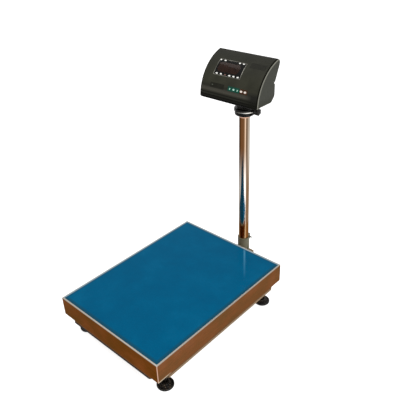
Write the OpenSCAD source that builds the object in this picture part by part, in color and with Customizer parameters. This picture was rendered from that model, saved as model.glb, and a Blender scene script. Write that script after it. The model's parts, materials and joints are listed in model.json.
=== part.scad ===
// Electronic platform scale: a sheet-steel platter on a load-cell base, with a column at the back
// that carries a swivelling, tilting indicator head. +X is right, +Y is back, +Z is up, in mm.
// The origin is on the floor, under the middle of the whole object.

/* [Platter] */
// Width of the platter, left to right
platter_w = 450; // [380:10:560]
// Length of the platter, front to back
platter_l = 600; // [480:10:760]
// Thickness of the platter's sheet
platter_t = 1.5; // [1:0.1:2.5]
// Outer radius of the platter's folded edges
platter_bend = 3; // [2.6:0.1:6]
// Bare border round the cover sheet
cover_margin = 5.5; // [4:0.5:20]
// Thickness of the cover sheet
cover_t = 0.8; // [0.4:0.1:2]

/* [Base frame] */
// Height of the frame's underside above the floor
frame_z = 63; // [56:1:95]
// Height of the skirt's lower edge above the frame's underside
skirt_lift = 17; // [10:1:22]
// Gap between the skirt and the base frame
frame_gap = 2.5; // [2:0.5:8]
// Width of the outer rails and beams
rail_w = 20; // [16:1:26]
// Height of the outer rails and beams
rail_h = 30; // [24:1:40]
// Wall of every frame tube
tube_t = 2; // [1.5:0.1:3]
// Length of the cut corners, along each side
corner_cut = 42; // [30:1:55]
// Width of the centre beam
beam_w = 40; // [34:1:56]
// Height of the centre beam
beam_h = 20; // [16:1:28]
// Thickness of the plate that holds each foot
bracket_t = 5; // [4:0.5:8]
// How far the foot plate reaches inwards from the foot
bracket_reach = 48; // [42:1:60]

/* [Levelling feet] */
// Diameter of the foot's pad
pad_d = 54; // [40:1:66]
// Height of the foot's pad
pad_h = 15; // [12:1:20]
// Diameter of the foot's stud
stud_d = 12; // [10:1:16]
// Height of the threaded boss on the foot plate
boss_h = 12; // [8:1:15]
// Travel of the foot, up and down from the middle
foot_travel = 10; // [5:1:12]
// Distance of the foot behind or before the cross beam
foot_set = 32; // [28:1:40]

/* [Load cell] */
// Length of the load cell
cell_l = 150; // [130:1:180]
// Width of the load cell
cell_w = 40; // [30:1:50]
// Height of the load cell
cell_h = 28; // [22:1:32]
// Radius of the load cell's two bending holes
cell_hole_r = 8; // [6:0.5:9]
// Thickness of the spacer plates
spacer_t = 6; // [3:0.5:8]
// Length of the spacer plates
spacer_l = 44; // [40:1:50]
// Diameter of the load-cell and arm bolts
bolt_d = 8; // [6:1:10]
// Height of the bolts' low heads
bolt_head_h = 4; // [3:0.5:5]
// Gap between an overload stop and the upper frame
stop_gap = 0.8; // [0.5:0.1:0.9]

/* [Upper frame] */
// How far the upper frame stays inside the base frame
upper_inset = 30; // [24:1:40]
// Width of the upper frame's tubes
upper_w = 20; // [18:1:26]
// Height of the upper frame's tubes
upper_h = 20; // [16:1:28]
// Thickness of the rubber pads under the platter
cushion_t = 5.5; // [5.2:0.1:9]
// Diameter of the rubber pads
cushion_d = 18; // [12:1:18]

/* [Column] */
// Distance of the column's axis behind the platter
column_setback = 78; // [60:1:110]
// Outer diameter of the column
column_d = 38; // [32:1:45]
// Wall of the column
column_t = 1.5; // [1.2:0.1:3]
// Length of the column tube
column_len = 571; // [400:1:700]
// Width of the arm that carries the socket
arm_w = 60; // [56:1:80]
// Height of the arm
arm_h = 25; // [18:1:34]
// Thickness of the arm's plate
arm_t = 4; // [3:0.5:6]
// How far the arm reaches under the frame
arm_reach = 80; // [70:1:120]
// Wall of the column's socket
socket_wall = 3.2; // [2.5:0.1:5]
// Height of the socket
socket_h = 68; // [50:1:90]
// Height of the pinch ears
ear_h = 25; // [18:1:34]
// Thickness of each pinch ear
ear_t = 4; // [3:0.5:6]
// Width of the slit between the ears
slit_w = 4; // [3:0.5:6]
// How far the ears stand out from the socket
ear_reach = 11; // [11:0.5:16]
// Diameter of the pinch bolt
pinch_d = 6; // [5:0.5:6]

/* [Column head] */
// Depth of the column in its cap
cap_seat = 8; // [6:1:20]
// Thickness of the cap above the column's end
cap_floor = 7; // [6:1:14]
// Radius of the cap's rim
cap_rim_r = 34.5; // [28:0.5:36]
// Wall of the cap at its neck
cap_neck = 2.5; // [1.5:0.1:4]
// Radius of the spigot that the collar turns on
spigot_r = 16; // [14:0.5:18]
// Height of the spigot
spigot_h = 12; // [9:1:13]
// Radius of the cable hole through the cap and collar
cable_r = 8; // [5:0.5:10]
// Radius of the swivel collar
collar_r = 36.5; // [31:0.5:38]
// Height of the swivel collar
collar_h = 14; // [14:1:20]
// Thickness of the shoulder on the collar
shoulder_t = 4; // [3:0.5:8]
// Height of the tilt axis above the shoulder
lug_h = 14; // [13:1:24]
// Width of the lug between the tilt bracket's ears
lug_w = 24; // [18:1:30]
// Radius of the lug and the bracket's ears round the tilt axis
lug_r = 11; // [9:0.5:13]
// Diameter of the tilt bolt
tilt_d = 8; // [6:1:8]
// Distance of the tilt axis in front of the column's axis
tilt_fwd = 16; // [8:1:18]
// Diameter of the hand knob
knob_d = 25; // [20:1:30]
// Length of the hand knob's grip
knob_l = 15; // [10:1:20]
// Diameter of the hand knob's screw
knob_screw_d = 6; // [5:0.5:8]

/* [Indicator head] */
// Width of the head
head_w = 238; // [210:1:270]
// Height of the head
head_h = 141; // [132:1:142]
// Depth of the head at its lower back
head_low_d = 92; // [86:1:96]
// Depth of the head at its top
head_top_d = 122; // [114:1:126]
// Radius of the curved face
face_r = 146; // [144:0.5:160]
// Radius of the edge between the face and the cheeks
face_edge = 7; // [3.5:0.5:8]
// Radius of the head's upper side corners
head_corner = 9; // [6:0.5:10]
// Wall of the head's housing
head_wall = 3; // [2.5:0.1:3.4]
// Distance from the face's lower edge back to the column's axis
head_setback = 93; // [88:1:100]
// How far the front lip hangs below the head's underside
lip_drop = 8; // [4:0.5:10]
// Height of the front lip's lower edge above the tilt axis
head_lift = 18; // [18:1:28]
// Thickness of the tilt bracket's plate
bracket_plate = 5; // [4:0.5:6]
// Thickness of the tilt bracket's ears
bracket_ear = 6; // [4:0.5:8]
// Diameter of the housing screws
screw_d = 4; // [3:0.5:4]

/* [Display and keys] */
// Width of the display window
window_w = 106; // [90:1:112]
// Height of the display window, along the curve
window_h = 55; // [44:1:56]
// Place of the window's middle, left or right of centre
window_x = -22; // [-30:1:-16]
// Angle of the window's middle round the face
window_a = 44.2; // [42:0.2:46]
// Thickness of the display window
window_t = 2; // [1.5:0.1:2.5]
// Width of a key
key_w = 11.5; // [9:0.5:12]
// Height of a key
key_h = 8.5; // [7:0.5:10]
// Distance from key to key
key_pitch = 15.2; // [15:0.1:16]
// Place of the middle key, left or right of centre
key_x = 35.5; // [30:0.5:42]
// Angle of the key row round the face
key_a = 19.2; // [18:0.2:22]
// How far a key stands out
key_proud = 1; // [0.6:0.1:2]
// Travel of a key
key_travel = 1; // [0.5:0.1:1.2]

/* [Hidden] */
$fn = 96;

// Fits
run_fit = 0.08;   // radial clearance of a turning or sliding fit
seat_fit = 0.05;  // radial clearance of a piece that stays put
bolt_fit = 0.3;   // radial clearance of a bolt in a plain hole
side_fit = 0.3;   // clearance at the sides of a moving lug
panel_fit = 0.1;  // joint line between the housing's shells
key_fit = 0.2;    // clearance round a key

// Heights of the base, from the floor up
beam_top = frame_z + beam_h;
cell_z = beam_top + spacer_t;
upper_z = cell_z + cell_h + spacer_t;
upper_top = upper_z + upper_h;
platter_z = upper_top + cushion_t + platter_t;
skirt_z = frame_z + skirt_lift;
platter_h = platter_z - skirt_z;

// Plan of the base, round the middle of the platter
frame_w = platter_w - 2*platter_t - 2*frame_gap;
frame_l = platter_l - 2*platter_t - 2*frame_gap;
rail_in = frame_w/2 - rail_w;
beam_in = frame_l/2 - rail_w;
boss_r = stud_d/2 + 5;
foot_x = rail_in - boss_r - 1;
foot_y = beam_in - foot_set;
upper_x = frame_w/2 - upper_inset;
upper_y = frame_l/2 - upper_inset;
stop_x = upper_x - upper_w/2;
stop_y = foot_y - boss_r - bolt_d - 9;
cut_wall = 3;                                // wall across each cut corner
cell_bolt_rows = [12, 32];                   // distances of the bolts from the cell's end
arm_bolt_x = beam_w/2 - 8;
arm_bolt_back = [rail_w/2, rail_w + 30];     // distances of the bolts from the frame's rear

// Places along the length
socket_r = column_d/2 + run_fit + socket_wall;
rear_reach = column_setback + max(socket_r + ear_reach, collar_r, head_top_d - head_setback);
platter_y = -rear_reach/2;
column_y = platter_y + platter_l/2 + column_setback;

// Heights of the column and the head
column_top = frame_z + column_len;
cap_z = column_top - cap_seat;
cap_top = column_top + cap_floor;
collar_top = cap_top + collar_h;
tilt_z = collar_top + shoulder_t + lug_h;
tilt_y = column_y - tilt_fwd;
knob_z = cap_top + collar_h/2;
head_z = tilt_z + head_lift;
under_z = head_z + lip_drop;
head_y = column_y - head_setback;

// Outline of the head from the side, from its lower front edge: y back, z up
lip_d = 12;
lip_step = [lip_d + 1, lip_d + 5];           // slope from the lip up to the underside
chamfer_y = head_low_d - 18;
chamfer_z = 27;
groove_z = 69;
groove_half = 4.5;
groove_depth = 5;
head_pts = [
    [0, 0], [lip_step[0], 0], [lip_step[1], lip_drop], [chamfer_y, lip_drop],
    [head_low_d, chamfer_z], [head_low_d, groove_z - groove_half],
    [head_low_d - groove_depth, groove_z], [head_low_d + 1, groove_z + groove_half],
    [head_top_d, head_h], [0, head_h]
];
head_rounds = [10, 2, 2, 14, 14, 0, 0, 0, 9, 0];
back_lean = atan2(head_top_d - head_low_d - 1, head_h - groove_z - groove_half);
lip_grooves = 3;
lip_groove_a = 3.2;     // angle from one lip groove to the next
lip_groove_w = 1.4;
lip_groove_depth = 0.9;
split_z = head_h - 20;
cheek_in = head_w/2 - head_wall;
screw_boss_r = 4.5;
screw_boss_l = 12;
screw_x = cheek_in - screw_boss_r + 1;
rear_mid_z = (chamfer_z + groove_z - groove_half)/2;
back_screw_s = 38;
tilt_grip = lug_w/2 + side_fit + bracket_ear;
plate_w = 72;           // width of the tilt bracket's plate
plate_screw_x = plate_w/2 - 8;
plate_screw_y = [lip_d + 24, chamfer_y - 12];

// Boards behind the face, measured inwards from the face
led_depth = [6, 13];
led_w = 92;
led_h = 28;
board_t = 1.6;
board_h = 48;
board_over = 8;         // how far the display board reaches past the window at each side
key_board_h = 16;
key_post_gap = 14;      // from an outer key's middle to the post beside it
post_r = 3;
post_x = window_w/2 + post_r + 1.5;
post_z = board_h/2 - 4;
key_post_x = 2*key_pitch + key_post_gap;
key_board_d = 11;
key_end_d = 6;
switch_d = key_end_d + key_travel + 0.5;
main_board_d = 14;
main_board_w = 170;
main_board_h = 0.3*face_r;   // the main board keeps its share of the room under the curved face
board_s = 0.175*face_r;      // place of its middle up the sloping back

// Battery, transformer and the ribs they stand on: x from centre, y from the face's lower edge
rib_h = 6;
rib_t = 2;
battery_size = [97, 24, 52];
battery_at = [-cheek_in + 3, 33];
core_size = [48, 34, 36];
core_at = [cheek_in - core_size[0] - 22, 29];
ribs_x = [battery_at[0] + 16, battery_at[0] + 51, core_at[0] + 6, core_at[0] + 40];

// Sockets and switch on the lower back: places from centre and sizes of their bodies
socket_x = -60;
socket_body_r = 8;
inlet_x = 62;
inlet_w = 27;
inlet_h = 19;
switch_x = 18;
switch_w = 14;
switch_h = 21;
rocker_r = switch_h/2 - 1.6;
pin_r = 1;
rocker_y = -1.5;        // place of the rocker's pin behind the cover's face
rocker_rest = 10;       // tip of the rocker in its off position, in degrees

// Hand knob: its boss on the collar and where its hub starts
boss_end = collar_r + 2;
knob_x = boss_end + 1;
knob_hub = 5;

// Tints
black = [0.08, 0.08, 0.08];
charcoal = [0.2, 0.2, 0.18];
key_green = [0.05, 0.4, 0.3];
key_cream = [0.85, 0.75, 0.68];

// Bolt heads and nuts
function hex_r(d) = 0.94*d;
nut_h = 0.8;

// Unit vector along v
function unit(v) = v/norm(v);
// Left-hand normal of v
function left(v) = unit([-v[1], v[0]]);
// Outline moved inwards by w: each corner slides along its mitre
function inset(pts, w) = [
    for (i = [0:len(pts) - 1])
        let (n = len(pts), p = pts[i], a = left(p - pts[(i + n - 1)%n]), b = left(pts[(i + 1)%n] - p))
        p + (a + b)*w/(1 + a*b)
];
// Arc that rounds corner p between neighbours a and b
function fillet(p, a, b, r, n = 8) = let (
    u = unit(a - p),
    v = unit(b - p),
    half = acos(u*v)/2,
    c = p + unit(u + v)*r/sin(half),
    s = p + u*r/tan(half) - c,
    e = p + v*r/tan(half) - c,
    turn = (s[0]*e[1] - s[1]*e[0] > 0 ? 1 : -1)*(180 - 2*half)
) [for (i = [0:n]) let (t = turn*i/n) c + [s[0]*cos(t) - s[1]*sin(t), s[0]*sin(t) + s[1]*cos(t)]];
// Outline with each corner rounded by its own radius
function rounded(pts, radii) = [
    for (i = [0:len(pts) - 1])
        let (n = len(pts))
        each radii[i] > 0 ? fillet(pts[i], pts[(i + n - 1)%n], pts[(i + 1)%n], radii[i]) : [pts[i]]
];

// Shared shapes

// Steel tube with open ends, along Y or X, from its middle
module tube_y(w, h, l) {
    rotate([90, 0, 0]) linear_extrude(l, center = true) tube_section(w, h);
}
module tube_x(w, h, l) {
    rotate([90, 0, 90]) linear_extrude(l, center = true) tube_section(w, h);
}
module tube_section(w, h) {
    difference() {
        square([w, h], center = true);
        square([w - 2*tube_t, h - 2*tube_t], center = true);
    }
}
// Copies in all four corners of the base, mirrored from the rear right one
module corners() {
    translate([0, platter_y, 0])
        for (sx = [0, 1], sy = [0, 1]) mirror([sx, 0, 0]) mirror([0, sy, 0]) children();
}
// Bolt along +Z with its low head below z = 0
module bolt(d, l, head_h) {
    translate([0, 0, -head_h]) cylinder(r = hex_r(d), h = head_h, $fn = 6);
    cylinder(d = d, h = l);
}
// Nut along +Z from z = 0, bored for its bolt
module nut(d, fit) {
    difference() {
        cylinder(r = hex_r(d), h = nut_h*d, $fn = 6);
        translate([0, 0, -1]) cylinder(r = d/2 + fit, h = nut_h*d + 2);
    }
}
// Flat plate with rounded corners in XY
module round_rect(w, l, r) {
    square([w - 2*r, l], center = true);
    square([w, l - 2*r], center = true);
    for (sx = [-1, 1], sy = [-1, 1]) translate([sx*(w/2 - r), sy*(l/2 - r)]) circle(r);
}
// Places the load-cell bolts: end is 1 at the rear end and -1 at the front end
module cell_bolt_places(end) {
    for (row = cell_bolt_rows) translate([0, platter_y + end*(cell_l/2 - row), 0]) children();
}
// Places the bolts that hold the arm under the rear beam and the centre beam
module arm_bolt_places() {
    for (sx = [-1, 1], back = arm_bolt_back)
        translate([sx*arm_bolt_x, platter_y + frame_l/2 - back, 0]) children();
}

// Base frame

module base_rail(side) {
    color("dimgray") translate([side*(frame_w/2 - rail_w/2), platter_y, frame_z + rail_h/2])
        tube_y(rail_w, rail_h, frame_l - 2*corner_cut);
}
module base_beam(end) {
    color("dimgray") difference() {
        translate([0, platter_y + end*(frame_l/2 - rail_w/2), frame_z + rail_h/2])
            tube_x(rail_w, rail_h, frame_w - 2*corner_cut);
        translate([0, 0, frame_z - 1]) arm_bolt_places()
            cylinder(r = bolt_d/2 + bolt_fit, h = tube_t + 2);
    }
}
module base_centre_beam() {
    color("dimgray") difference() {
        translate([0, platter_y, frame_z + beam_h/2]) tube_y(beam_w, beam_h, 2*beam_in);
        translate([0, 0, frame_z - 1]) {
            arm_bolt_places() cylinder(r = bolt_d/2 + bolt_fit, h = tube_t + 2);
            cell_bolt_places(1) cylinder(r = bolt_d/2 + bolt_fit, h = beam_h + 2);
        }
    }
}
// Corner plate with its cut-corner wall, the foot's boss and the hole for the stop
module foot_brackets() {
    cut = [[frame_w/2 - corner_cut, frame_l/2], [frame_w/2, frame_l/2 - corner_cut]];
    wall = cut_wall*sqrt(2);
    color("dimgray") corners() difference() {
        union() {
            translate([0, 0, frame_z]) linear_extrude(bracket_t) polygon([
                [foot_x - bracket_reach, beam_in], [cut[0][0], beam_in], cut[0], cut[1],
                [rail_in, cut[1][1]], [rail_in, foot_y - bracket_reach],
                [stop_x - bolt_d - 7, foot_y - bracket_reach], [foot_x - bracket_reach, foot_y]
            ]);
            translate([0, 0, frame_z]) linear_extrude(rail_h)
                polygon([cut[0] - [0, wall], cut[1] - [wall, 0], cut[1], cut[0]]);
            translate([foot_x, foot_y, frame_z]) cylinder(r = boss_r, h = bracket_t + boss_h);
        }
        translate([foot_x, foot_y, frame_z - 1])
            cylinder(r = stud_d/2 + run_fit, h = bracket_t + boss_h + 2);
        translate([stop_x, stop_y, frame_z - 1]) cylinder(r = bolt_d/2 + seat_fit, h = bracket_t + 2);
    }
}
module foot_lock_nuts() {
    color("silver") corners() translate([foot_x, foot_y, frame_z - nut_h*stud_d]) nut(stud_d, run_fit);
}
// Set screws that stop the upper frame under too much load
module overload_stops() {
    color("silver") corners() translate([stop_x, stop_y, frame_z])
        cylinder(d = bolt_d, h = upper_z - stop_gap - frame_z);
}
module stop_lock_nuts() {
    color("silver") corners() translate([stop_x, stop_y, frame_z + bracket_t]) nut(bolt_d, seat_fit);
}

// Levelling feet

module foot_place(sx, sy) {
    translate([sx*foot_x, platter_y + sy*foot_y, 0]) children();
}
module foot_pad(sx, sy) {
    r = pad_d/2;
    hub = stud_d/2 + 5;
    color("black") foot_place(sx, sy) difference() {
        rotate_extrude() polygon(concat(
            [[0, 0], [r - 2, 0], [r, 2], [r, 0.36*pad_h]],
            [for (t = [15:15:75]) [r - 3 + 3*cos(t), 0.36*pad_h + 2*sin(t)]],
            [[r - 4, 0.5*pad_h], [r - 6, 0.46*pad_h], [hub + 3, 0.7*pad_h], [hub, pad_h], [0, pad_h]]
        ));
        translate([0, 0, pad_h/3]) cylinder(r = stud_d/2 + seat_fit, h = pad_h);
    }
}
module foot_stud(sx, sy) {
    top = frame_z + bracket_t + boss_h + foot_travel + 2;
    color("silver") foot_place(sx, sy) {
        translate([0, 0, pad_h/3]) cylinder(d = stud_d, h = top - pad_h/3);
        translate([0, 0, pad_h]) cylinder(r = hex_r(stud_d)*0.85, h = 0.5*stud_d, $fn = 6);
    }
}

// Load cell

// Aluminium beam with two bending holes joined by a slot
module load_cell() {
    mid = cell_z + cell_h/2;
    web_y = 2*cell_hole_r;
    color("lightsteelblue") difference() {
        translate([-cell_w/2, platter_y - cell_l/2, cell_z]) cube([cell_w, cell_l, cell_h]);
        for (s = [-1, 1]) translate([0, platter_y + s*web_y, mid])
            rotate([0, 90, 0]) cylinder(r = cell_hole_r, h = cell_w + 2, center = true);
        translate([-cell_w/2 - 1, platter_y - web_y, mid - cell_hole_r/3])
            cube([cell_w + 2, 2*web_y, 2*cell_hole_r/3]);
        cell_bolt_places(1) translate([0, 0, cell_z - 1])
            cylinder(r = bolt_d/2 + seat_fit, h = cell_h/2 + 2);
        cell_bolt_places(-1) translate([0, 0, mid - 1])
            cylinder(r = bolt_d/2 + seat_fit, h = cell_h/2 + 2);
    }
}
module cell_spacer(end, z) {
    color("gray") difference() {
        translate([-cell_w/2, platter_y + end*(cell_l/2 - spacer_l/2) - spacer_l/2, z])
            cube([cell_w, spacer_l, spacer_t]);
        cell_bolt_places(end) translate([0, 0, z - 1])
            cylinder(r = bolt_d/2 + bolt_fit, h = spacer_t + 2);
    }
}
// Two bolts from below into the cell's rear end and two from above into its front end
module cell_bolts() {
    color("silver") {
        cell_bolt_places(1) translate([0, 0, frame_z])
            bolt(bolt_d, cell_z + cell_h/2 - frame_z, bolt_head_h);
        cell_bolt_places(-1) translate([0, 0, upper_top]) mirror([0, 0, 1])
            bolt(bolt_d, upper_top - cell_z - cell_h/2, bolt_head_h);
    }
}

// Upper frame

module upper_rail(side) {
    color("slategray") translate([side*stop_x, platter_y, upper_z + upper_h/2])
        tube_y(upper_w, upper_h, 2*upper_y);
}
module upper_beam(end) {
    color("slategray") translate([0, platter_y + end*(upper_y - upper_w/2), upper_z + upper_h/2])
        tube_x(upper_w, upper_h, 2*(upper_x - upper_w));
}
module upper_centre_beam() {
    color("slategray") difference() {
        translate([0, platter_y, upper_z + upper_h/2]) tube_y(cell_w, upper_h, 2*(upper_y - upper_w));
        cell_bolt_places(-1) translate([0, 0, upper_z - 1])
            cylinder(r = bolt_d/2 + bolt_fit, h = upper_h + 2);
    }
}
module platter_cushions() {
    color("black") corners() translate([stop_x, upper_y - upper_w/2, upper_top])
        cylinder(d = cushion_d, h = cushion_t);
}

// Platter

// Solid tray form: rounded along all four top edges and folded tight at its upright corners
module tray(w, l, h, r) {
    intersection() {
        linear_extrude(h) round_rect(w, l, r);
        rotate([90, 0, 0]) linear_extrude(l + 2, center = true) arch(w, h, r);
        rotate([90, 0, 90]) linear_extrude(w + 2, center = true) arch(l, h, r);
    }
}
// Section with rounded upper corners
module arch(w, h, r) {
    translate([-w/2, 0]) square([w, h - r]);
    translate([-w/2 + r, 0]) square([w - 2*r, h]);
    for (s = [-1, 1]) translate([s*(w/2 - r), h - r]) circle(r);
}
module platter_pan() {
    in_w = platter_w - 2*platter_t;
    in_l = platter_l - 2*platter_t;
    color("rosybrown") translate([0, platter_y, skirt_z]) difference() {
        tray(platter_w, platter_l, platter_h, platter_bend);
        translate([0, 0, -1]) tray(in_w, in_l, platter_h - platter_t + 1, platter_bend - platter_t);
    }
}
module platter_cover() {
    color([0.02, 0.34, 0.5]) translate([0, platter_y, platter_z]) linear_extrude(cover_t)
        round_rect(platter_w - 2*cover_margin, platter_l - 2*cover_margin, platter_bend);
}

// Column and its socket

// Channel that is bolted under the frame and carries the socket
module column_arm() {
    start = platter_y + frame_l/2 - arm_reach;
    end = column_y + socket_r + 4;
    color("gray") difference() {
        translate([0, end, frame_z - arm_h]) rotate([90, 0, 0]) linear_extrude(end - start) difference() {
            translate([-arm_w/2, 0]) square([arm_w, arm_h]);
            translate([-arm_w/2 + arm_t, -1]) square([arm_w - 2*arm_t, arm_h - arm_t + 1]);
        }
        arm_bolt_places() translate([0, 0, frame_z - arm_t - 1])
            cylinder(r = bolt_d/2 + bolt_fit, h = arm_t + 2);
        translate([0, column_y, frame_z - arm_t - 1]) cylinder(r = cable_r, h = arm_t + 2);
    }
}
module arm_bolts() {
    color("silver") arm_bolt_places() translate([0, 0, frame_z - arm_t])
        bolt(bolt_d, arm_t + 2*tube_t + 2, bolt_head_h);
}
// Split socket with two gussets and two pinch ears at the back; the right-hand ear is tapped
module column_socket() {
    gusset_h = socket_h - ear_h;
    gusset_t = 6;
    color("darkgray") translate([0, column_y, frame_z]) difference() {
        union() {
            cylinder(r = socket_r, h = socket_h);
            rotate([90, 0, 0]) linear_extrude(gusset_t, center = true)
                polygon([[-arm_w/2, 0], [arm_w/2, 0], [socket_r - 1, gusset_h], [1 - socket_r, gusset_h]]);
            translate([-slit_w/2 - ear_t, 0, socket_h - ear_h])
                cube([slit_w + 2*ear_t, socket_r + ear_reach, ear_h]);
        }
        translate([0, 0, -1]) cylinder(r = column_d/2 + run_fit, h = socket_h + 2);
        translate([-slit_w/2, 0, socket_h - 1.6*ear_h]) cube([slit_w, socket_r + ear_reach + 1, 2*ear_h]);
        translate([0, socket_r + ear_reach/2, socket_h - ear_h/2]) rotate([0, 90, 0]) {
            translate([0, 0, -slit_w - ear_t]) cylinder(r = pinch_d/2 + bolt_fit, h = slit_w + ear_t);
            cylinder(r = pinch_d/2 + seat_fit, h = slit_w + 2*ear_t);
        }
    }
}
module socket_pinch_bolt() {
    grip = slit_w/2 + ear_t;
    color("silver") translate([-grip, column_y + socket_r + ear_reach/2, frame_z + socket_h - ear_h/2])
        rotate([0, 90, 0]) bolt(pinch_d, 2*grip + 2*pinch_d, 0.6*pinch_d);
}
module column_tube() {
    color("tan") translate([0, column_y, frame_z]) difference() {
        cylinder(d = column_d, h = column_len);
        translate([0, 0, -1]) cylinder(r = column_d/2 - column_t, h = column_len + 2);
    }
}

// Column head

// Bowl that closes the column, with a rim and the spigot that the collar turns on
module column_cap() {
    neck_r = column_d/2 + cap_neck;
    rim_h = 7;
    rim_round = 3;
    top = cap_seat + cap_floor;
    bowl_h = top - rim_h;
    bowl = [for (t = [0:10:90]) [neck_r + (cap_rim_r - neck_r)*sin(t), bowl_h*(1 - cos(t))]];
    rim = fillet([cap_rim_r, top], [cap_rim_r, 0], [0, top], rim_round, 4);
    spigot = [[spigot_r, top], [spigot_r, top + spigot_h]];
    bore = [
        [cable_r, top + spigot_h], [cable_r, cap_seat],
        [column_d/2 + seat_fit, cap_seat], [column_d/2 + seat_fit, 0]
    ];
    color(black) translate([0, column_y, cap_z])
        rotate_extrude() polygon(concat(bowl, rim, spigot, bore));
}
// Collar on the spigot, with the boss for the hand screw and the lug of the tilt joint
module swivel_collar() {
    top = collar_h + shoulder_t;
    shoulder_r = 0.8*collar_r;
    bore_top = spigot_h + 1;
    boss_in = collar_r - 4;
    ring = concat(
        fillet([collar_r, 0], [0, 0], [collar_r, collar_h], 3, 4),
        fillet([collar_r, collar_h], [collar_r, 0], [0, collar_h], 4, 4),
        [[shoulder_r, collar_h], [shoulder_r, top], [cable_r, top], [cable_r, bore_top]],
        [[spigot_r + run_fit, bore_top], [spigot_r + run_fit, 0]]
    );
    color(black) difference() {
        union() {
            translate([0, column_y, cap_top]) rotate_extrude() polygon(ring);
            translate([boss_in, column_y, knob_z]) rotate([0, 90, 0])
                cylinder(r = collar_h/2 - 0.5, h = boss_end - boss_in);
            translate([-lug_w/2, tilt_y - lug_r, collar_top + shoulder_t - 1])
                cube([lug_w, 2*lug_r, lug_h + 1]);
            translate([0, tilt_y, tilt_z]) rotate([0, 90, 0]) cylinder(r = lug_r, h = lug_w, center = true);
        }
        translate([0, column_y, knob_z]) rotate([0, 90, 0])
            cylinder(r = knob_screw_d/2 + run_fit, h = boss_end + 1);
        translate([0, tilt_y, tilt_z]) rotate([0, 90, 0])
            cylinder(r = tilt_d/2 + run_fit, h = lug_w + 2, center = true);
        translate([0, column_y, collar_top]) cylinder(r = cable_r, h = shoulder_t + 2*lug_h);
    }
}
// Fluted hand knob on a tapered hub
module swivel_knob() {
    flutes = 6;
    flute_r = knob_d/6;
    color(black) translate([knob_x, column_y, knob_z]) rotate([0, 90, 0]) difference() {
        union() {
            cylinder(r1 = knob_screw_d/2 + 2, r2 = knob_d/3, h = knob_hub);
            translate([0, 0, knob_hub]) linear_extrude(knob_l) difference() {
                circle(d = knob_d);
                for (i = [0:flutes - 1]) rotate((i + 0.5)*360/flutes)
                    translate([knob_d/2 + 0.4*flute_r, 0]) circle(flute_r);
            }
        }
        translate([0, 0, -1]) cylinder(r = knob_screw_d/2 + seat_fit, h = knob_l + 1);
    }
}
module knob_screw() {
    tip_x = spigot_r + side_fit + run_fit;
    color("silver") translate([tip_x, column_y, knob_z]) rotate([0, 90, 0])
        cylinder(d = knob_screw_d, h = knob_x + knob_l - tip_x);
}

// Indicator head: shared places

// Stands on the face at angle a, x from centre: -Y points out, +Z points up along the face
module on_face(x, a) {
    translate([0, head_y + face_r, head_z]) rotate([-a, 0, 0]) translate([x, -face_r, 0]) children();
}
// Stands on the sloping upper back, s up the slope: +Y points out
module on_back(x, s) {
    translate([x, head_y + head_low_d + 1, head_z + groove_z + groove_half])
        rotate([-back_lean, 0, 0]) translate([0, 0, s]) children();
}
// Stands on the upright lower back: +Y points out
module on_low_back(x) {
    translate([x, head_y + head_low_d, head_z + rear_mid_z]) children();
}
// Cylinder along +Y from y0 to y1
module rod_y(r, y0, y1) {
    translate([0, y0, 0]) rotate([-90, 0, 0]) cylinder(r = r, h = y1 - y0);
}
// Rounded block along Y from y0 to y1
module block_y(w, h, r, y0, y1) {
    translate([0, y1, 0]) rotate([90, 0, 0]) linear_extrude(y1 - y0) round_rect(w, h, r);
}
// Side view drawn in y and z, spread over width w
module across(w) {
    translate([0, head_y, head_z]) rotate([90, 0, 90]) linear_extrude(w, center = true) children();
}
// Part of the face's curve between two radii and two angles
module face_sector(r0, r1, a0, a1, w) {
    translate([0, head_y + face_r, head_z]) rotate([90, 0, -90]) rotate([0, 0, a0])
        rotate_extrude(angle = a1 - a0) translate([r0, -w/2]) square([r1 - r0, w]);
}
module head_outline(w) {
    intersection() {
        translate([face_r, 0]) circle(face_r - w, $fn = 180);
        polygon(rounded(inset(head_pts, w), [for (r = head_rounds) max(r - w, 0)]));
    }
}
// Part of the side view that the rear cover closes: the back and the underside
module cover_zone(gap) {
    intersection() {
        translate([face_r, 0]) circle(face_r - head_wall - gap, $fn = 180);
        translate([lip_d + gap, -1]) square([2*head_top_d, split_z - gap + 1]);
    }
}
// Places of the screws that hold the tilt bracket under the head
module bracket_screw_places() {
    for (sx = [-1, 1], y = plate_screw_y) translate([sx*plate_screw_x, head_y + y, under_z]) children();
}
// Posts inside the face that carry the display board and the key board
module board_posts() {
    for (sx = [-1, 1], sz = [-1, 1]) on_face(window_x + sx*post_x, window_a)
        translate([0, 0, sz*post_z]) rod_y(post_r, head_wall - 0.4, led_depth[1]);
    for (sx = [-1, 1]) on_face(key_x + sx*key_post_x, key_a) rod_y(post_r, head_wall - 0.4, key_board_d);
}
// Places of the four screws that hold the rear cover, with +Y out of the back
module cover_screw_places() {
    for (sx = [-1, 1]) {
        on_back(sx*screw_x, back_screw_s) children();
        on_low_back(sx*screw_x) children();
    }
}
// Front view with rounded upper corners, drawn out over the whole depth of the head
module head_front(w, h, r) {
    translate([0, head_y + 2*head_top_d, head_z]) rotate([90, 0, 0]) linear_extrude(3*head_top_d)
        arch(w, h, r);
}
// Solid form of the face: a drum with rounded rims
module face_drum() {
    translate([0, head_y + face_r, head_z]) rotate([90, 0, -90]) rotate_extrude($fn = 180) {
        translate([0, -head_w/2]) square([face_r - face_edge, head_w]);
        translate([0, -head_w/2 + face_edge]) square([face_r, head_w - 2*face_edge]);
        for (s = [-1, 1]) translate([face_r - face_edge, s*(head_w/2 - face_edge)]) circle(face_edge);
    }
}

// Indicator head: shells

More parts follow.
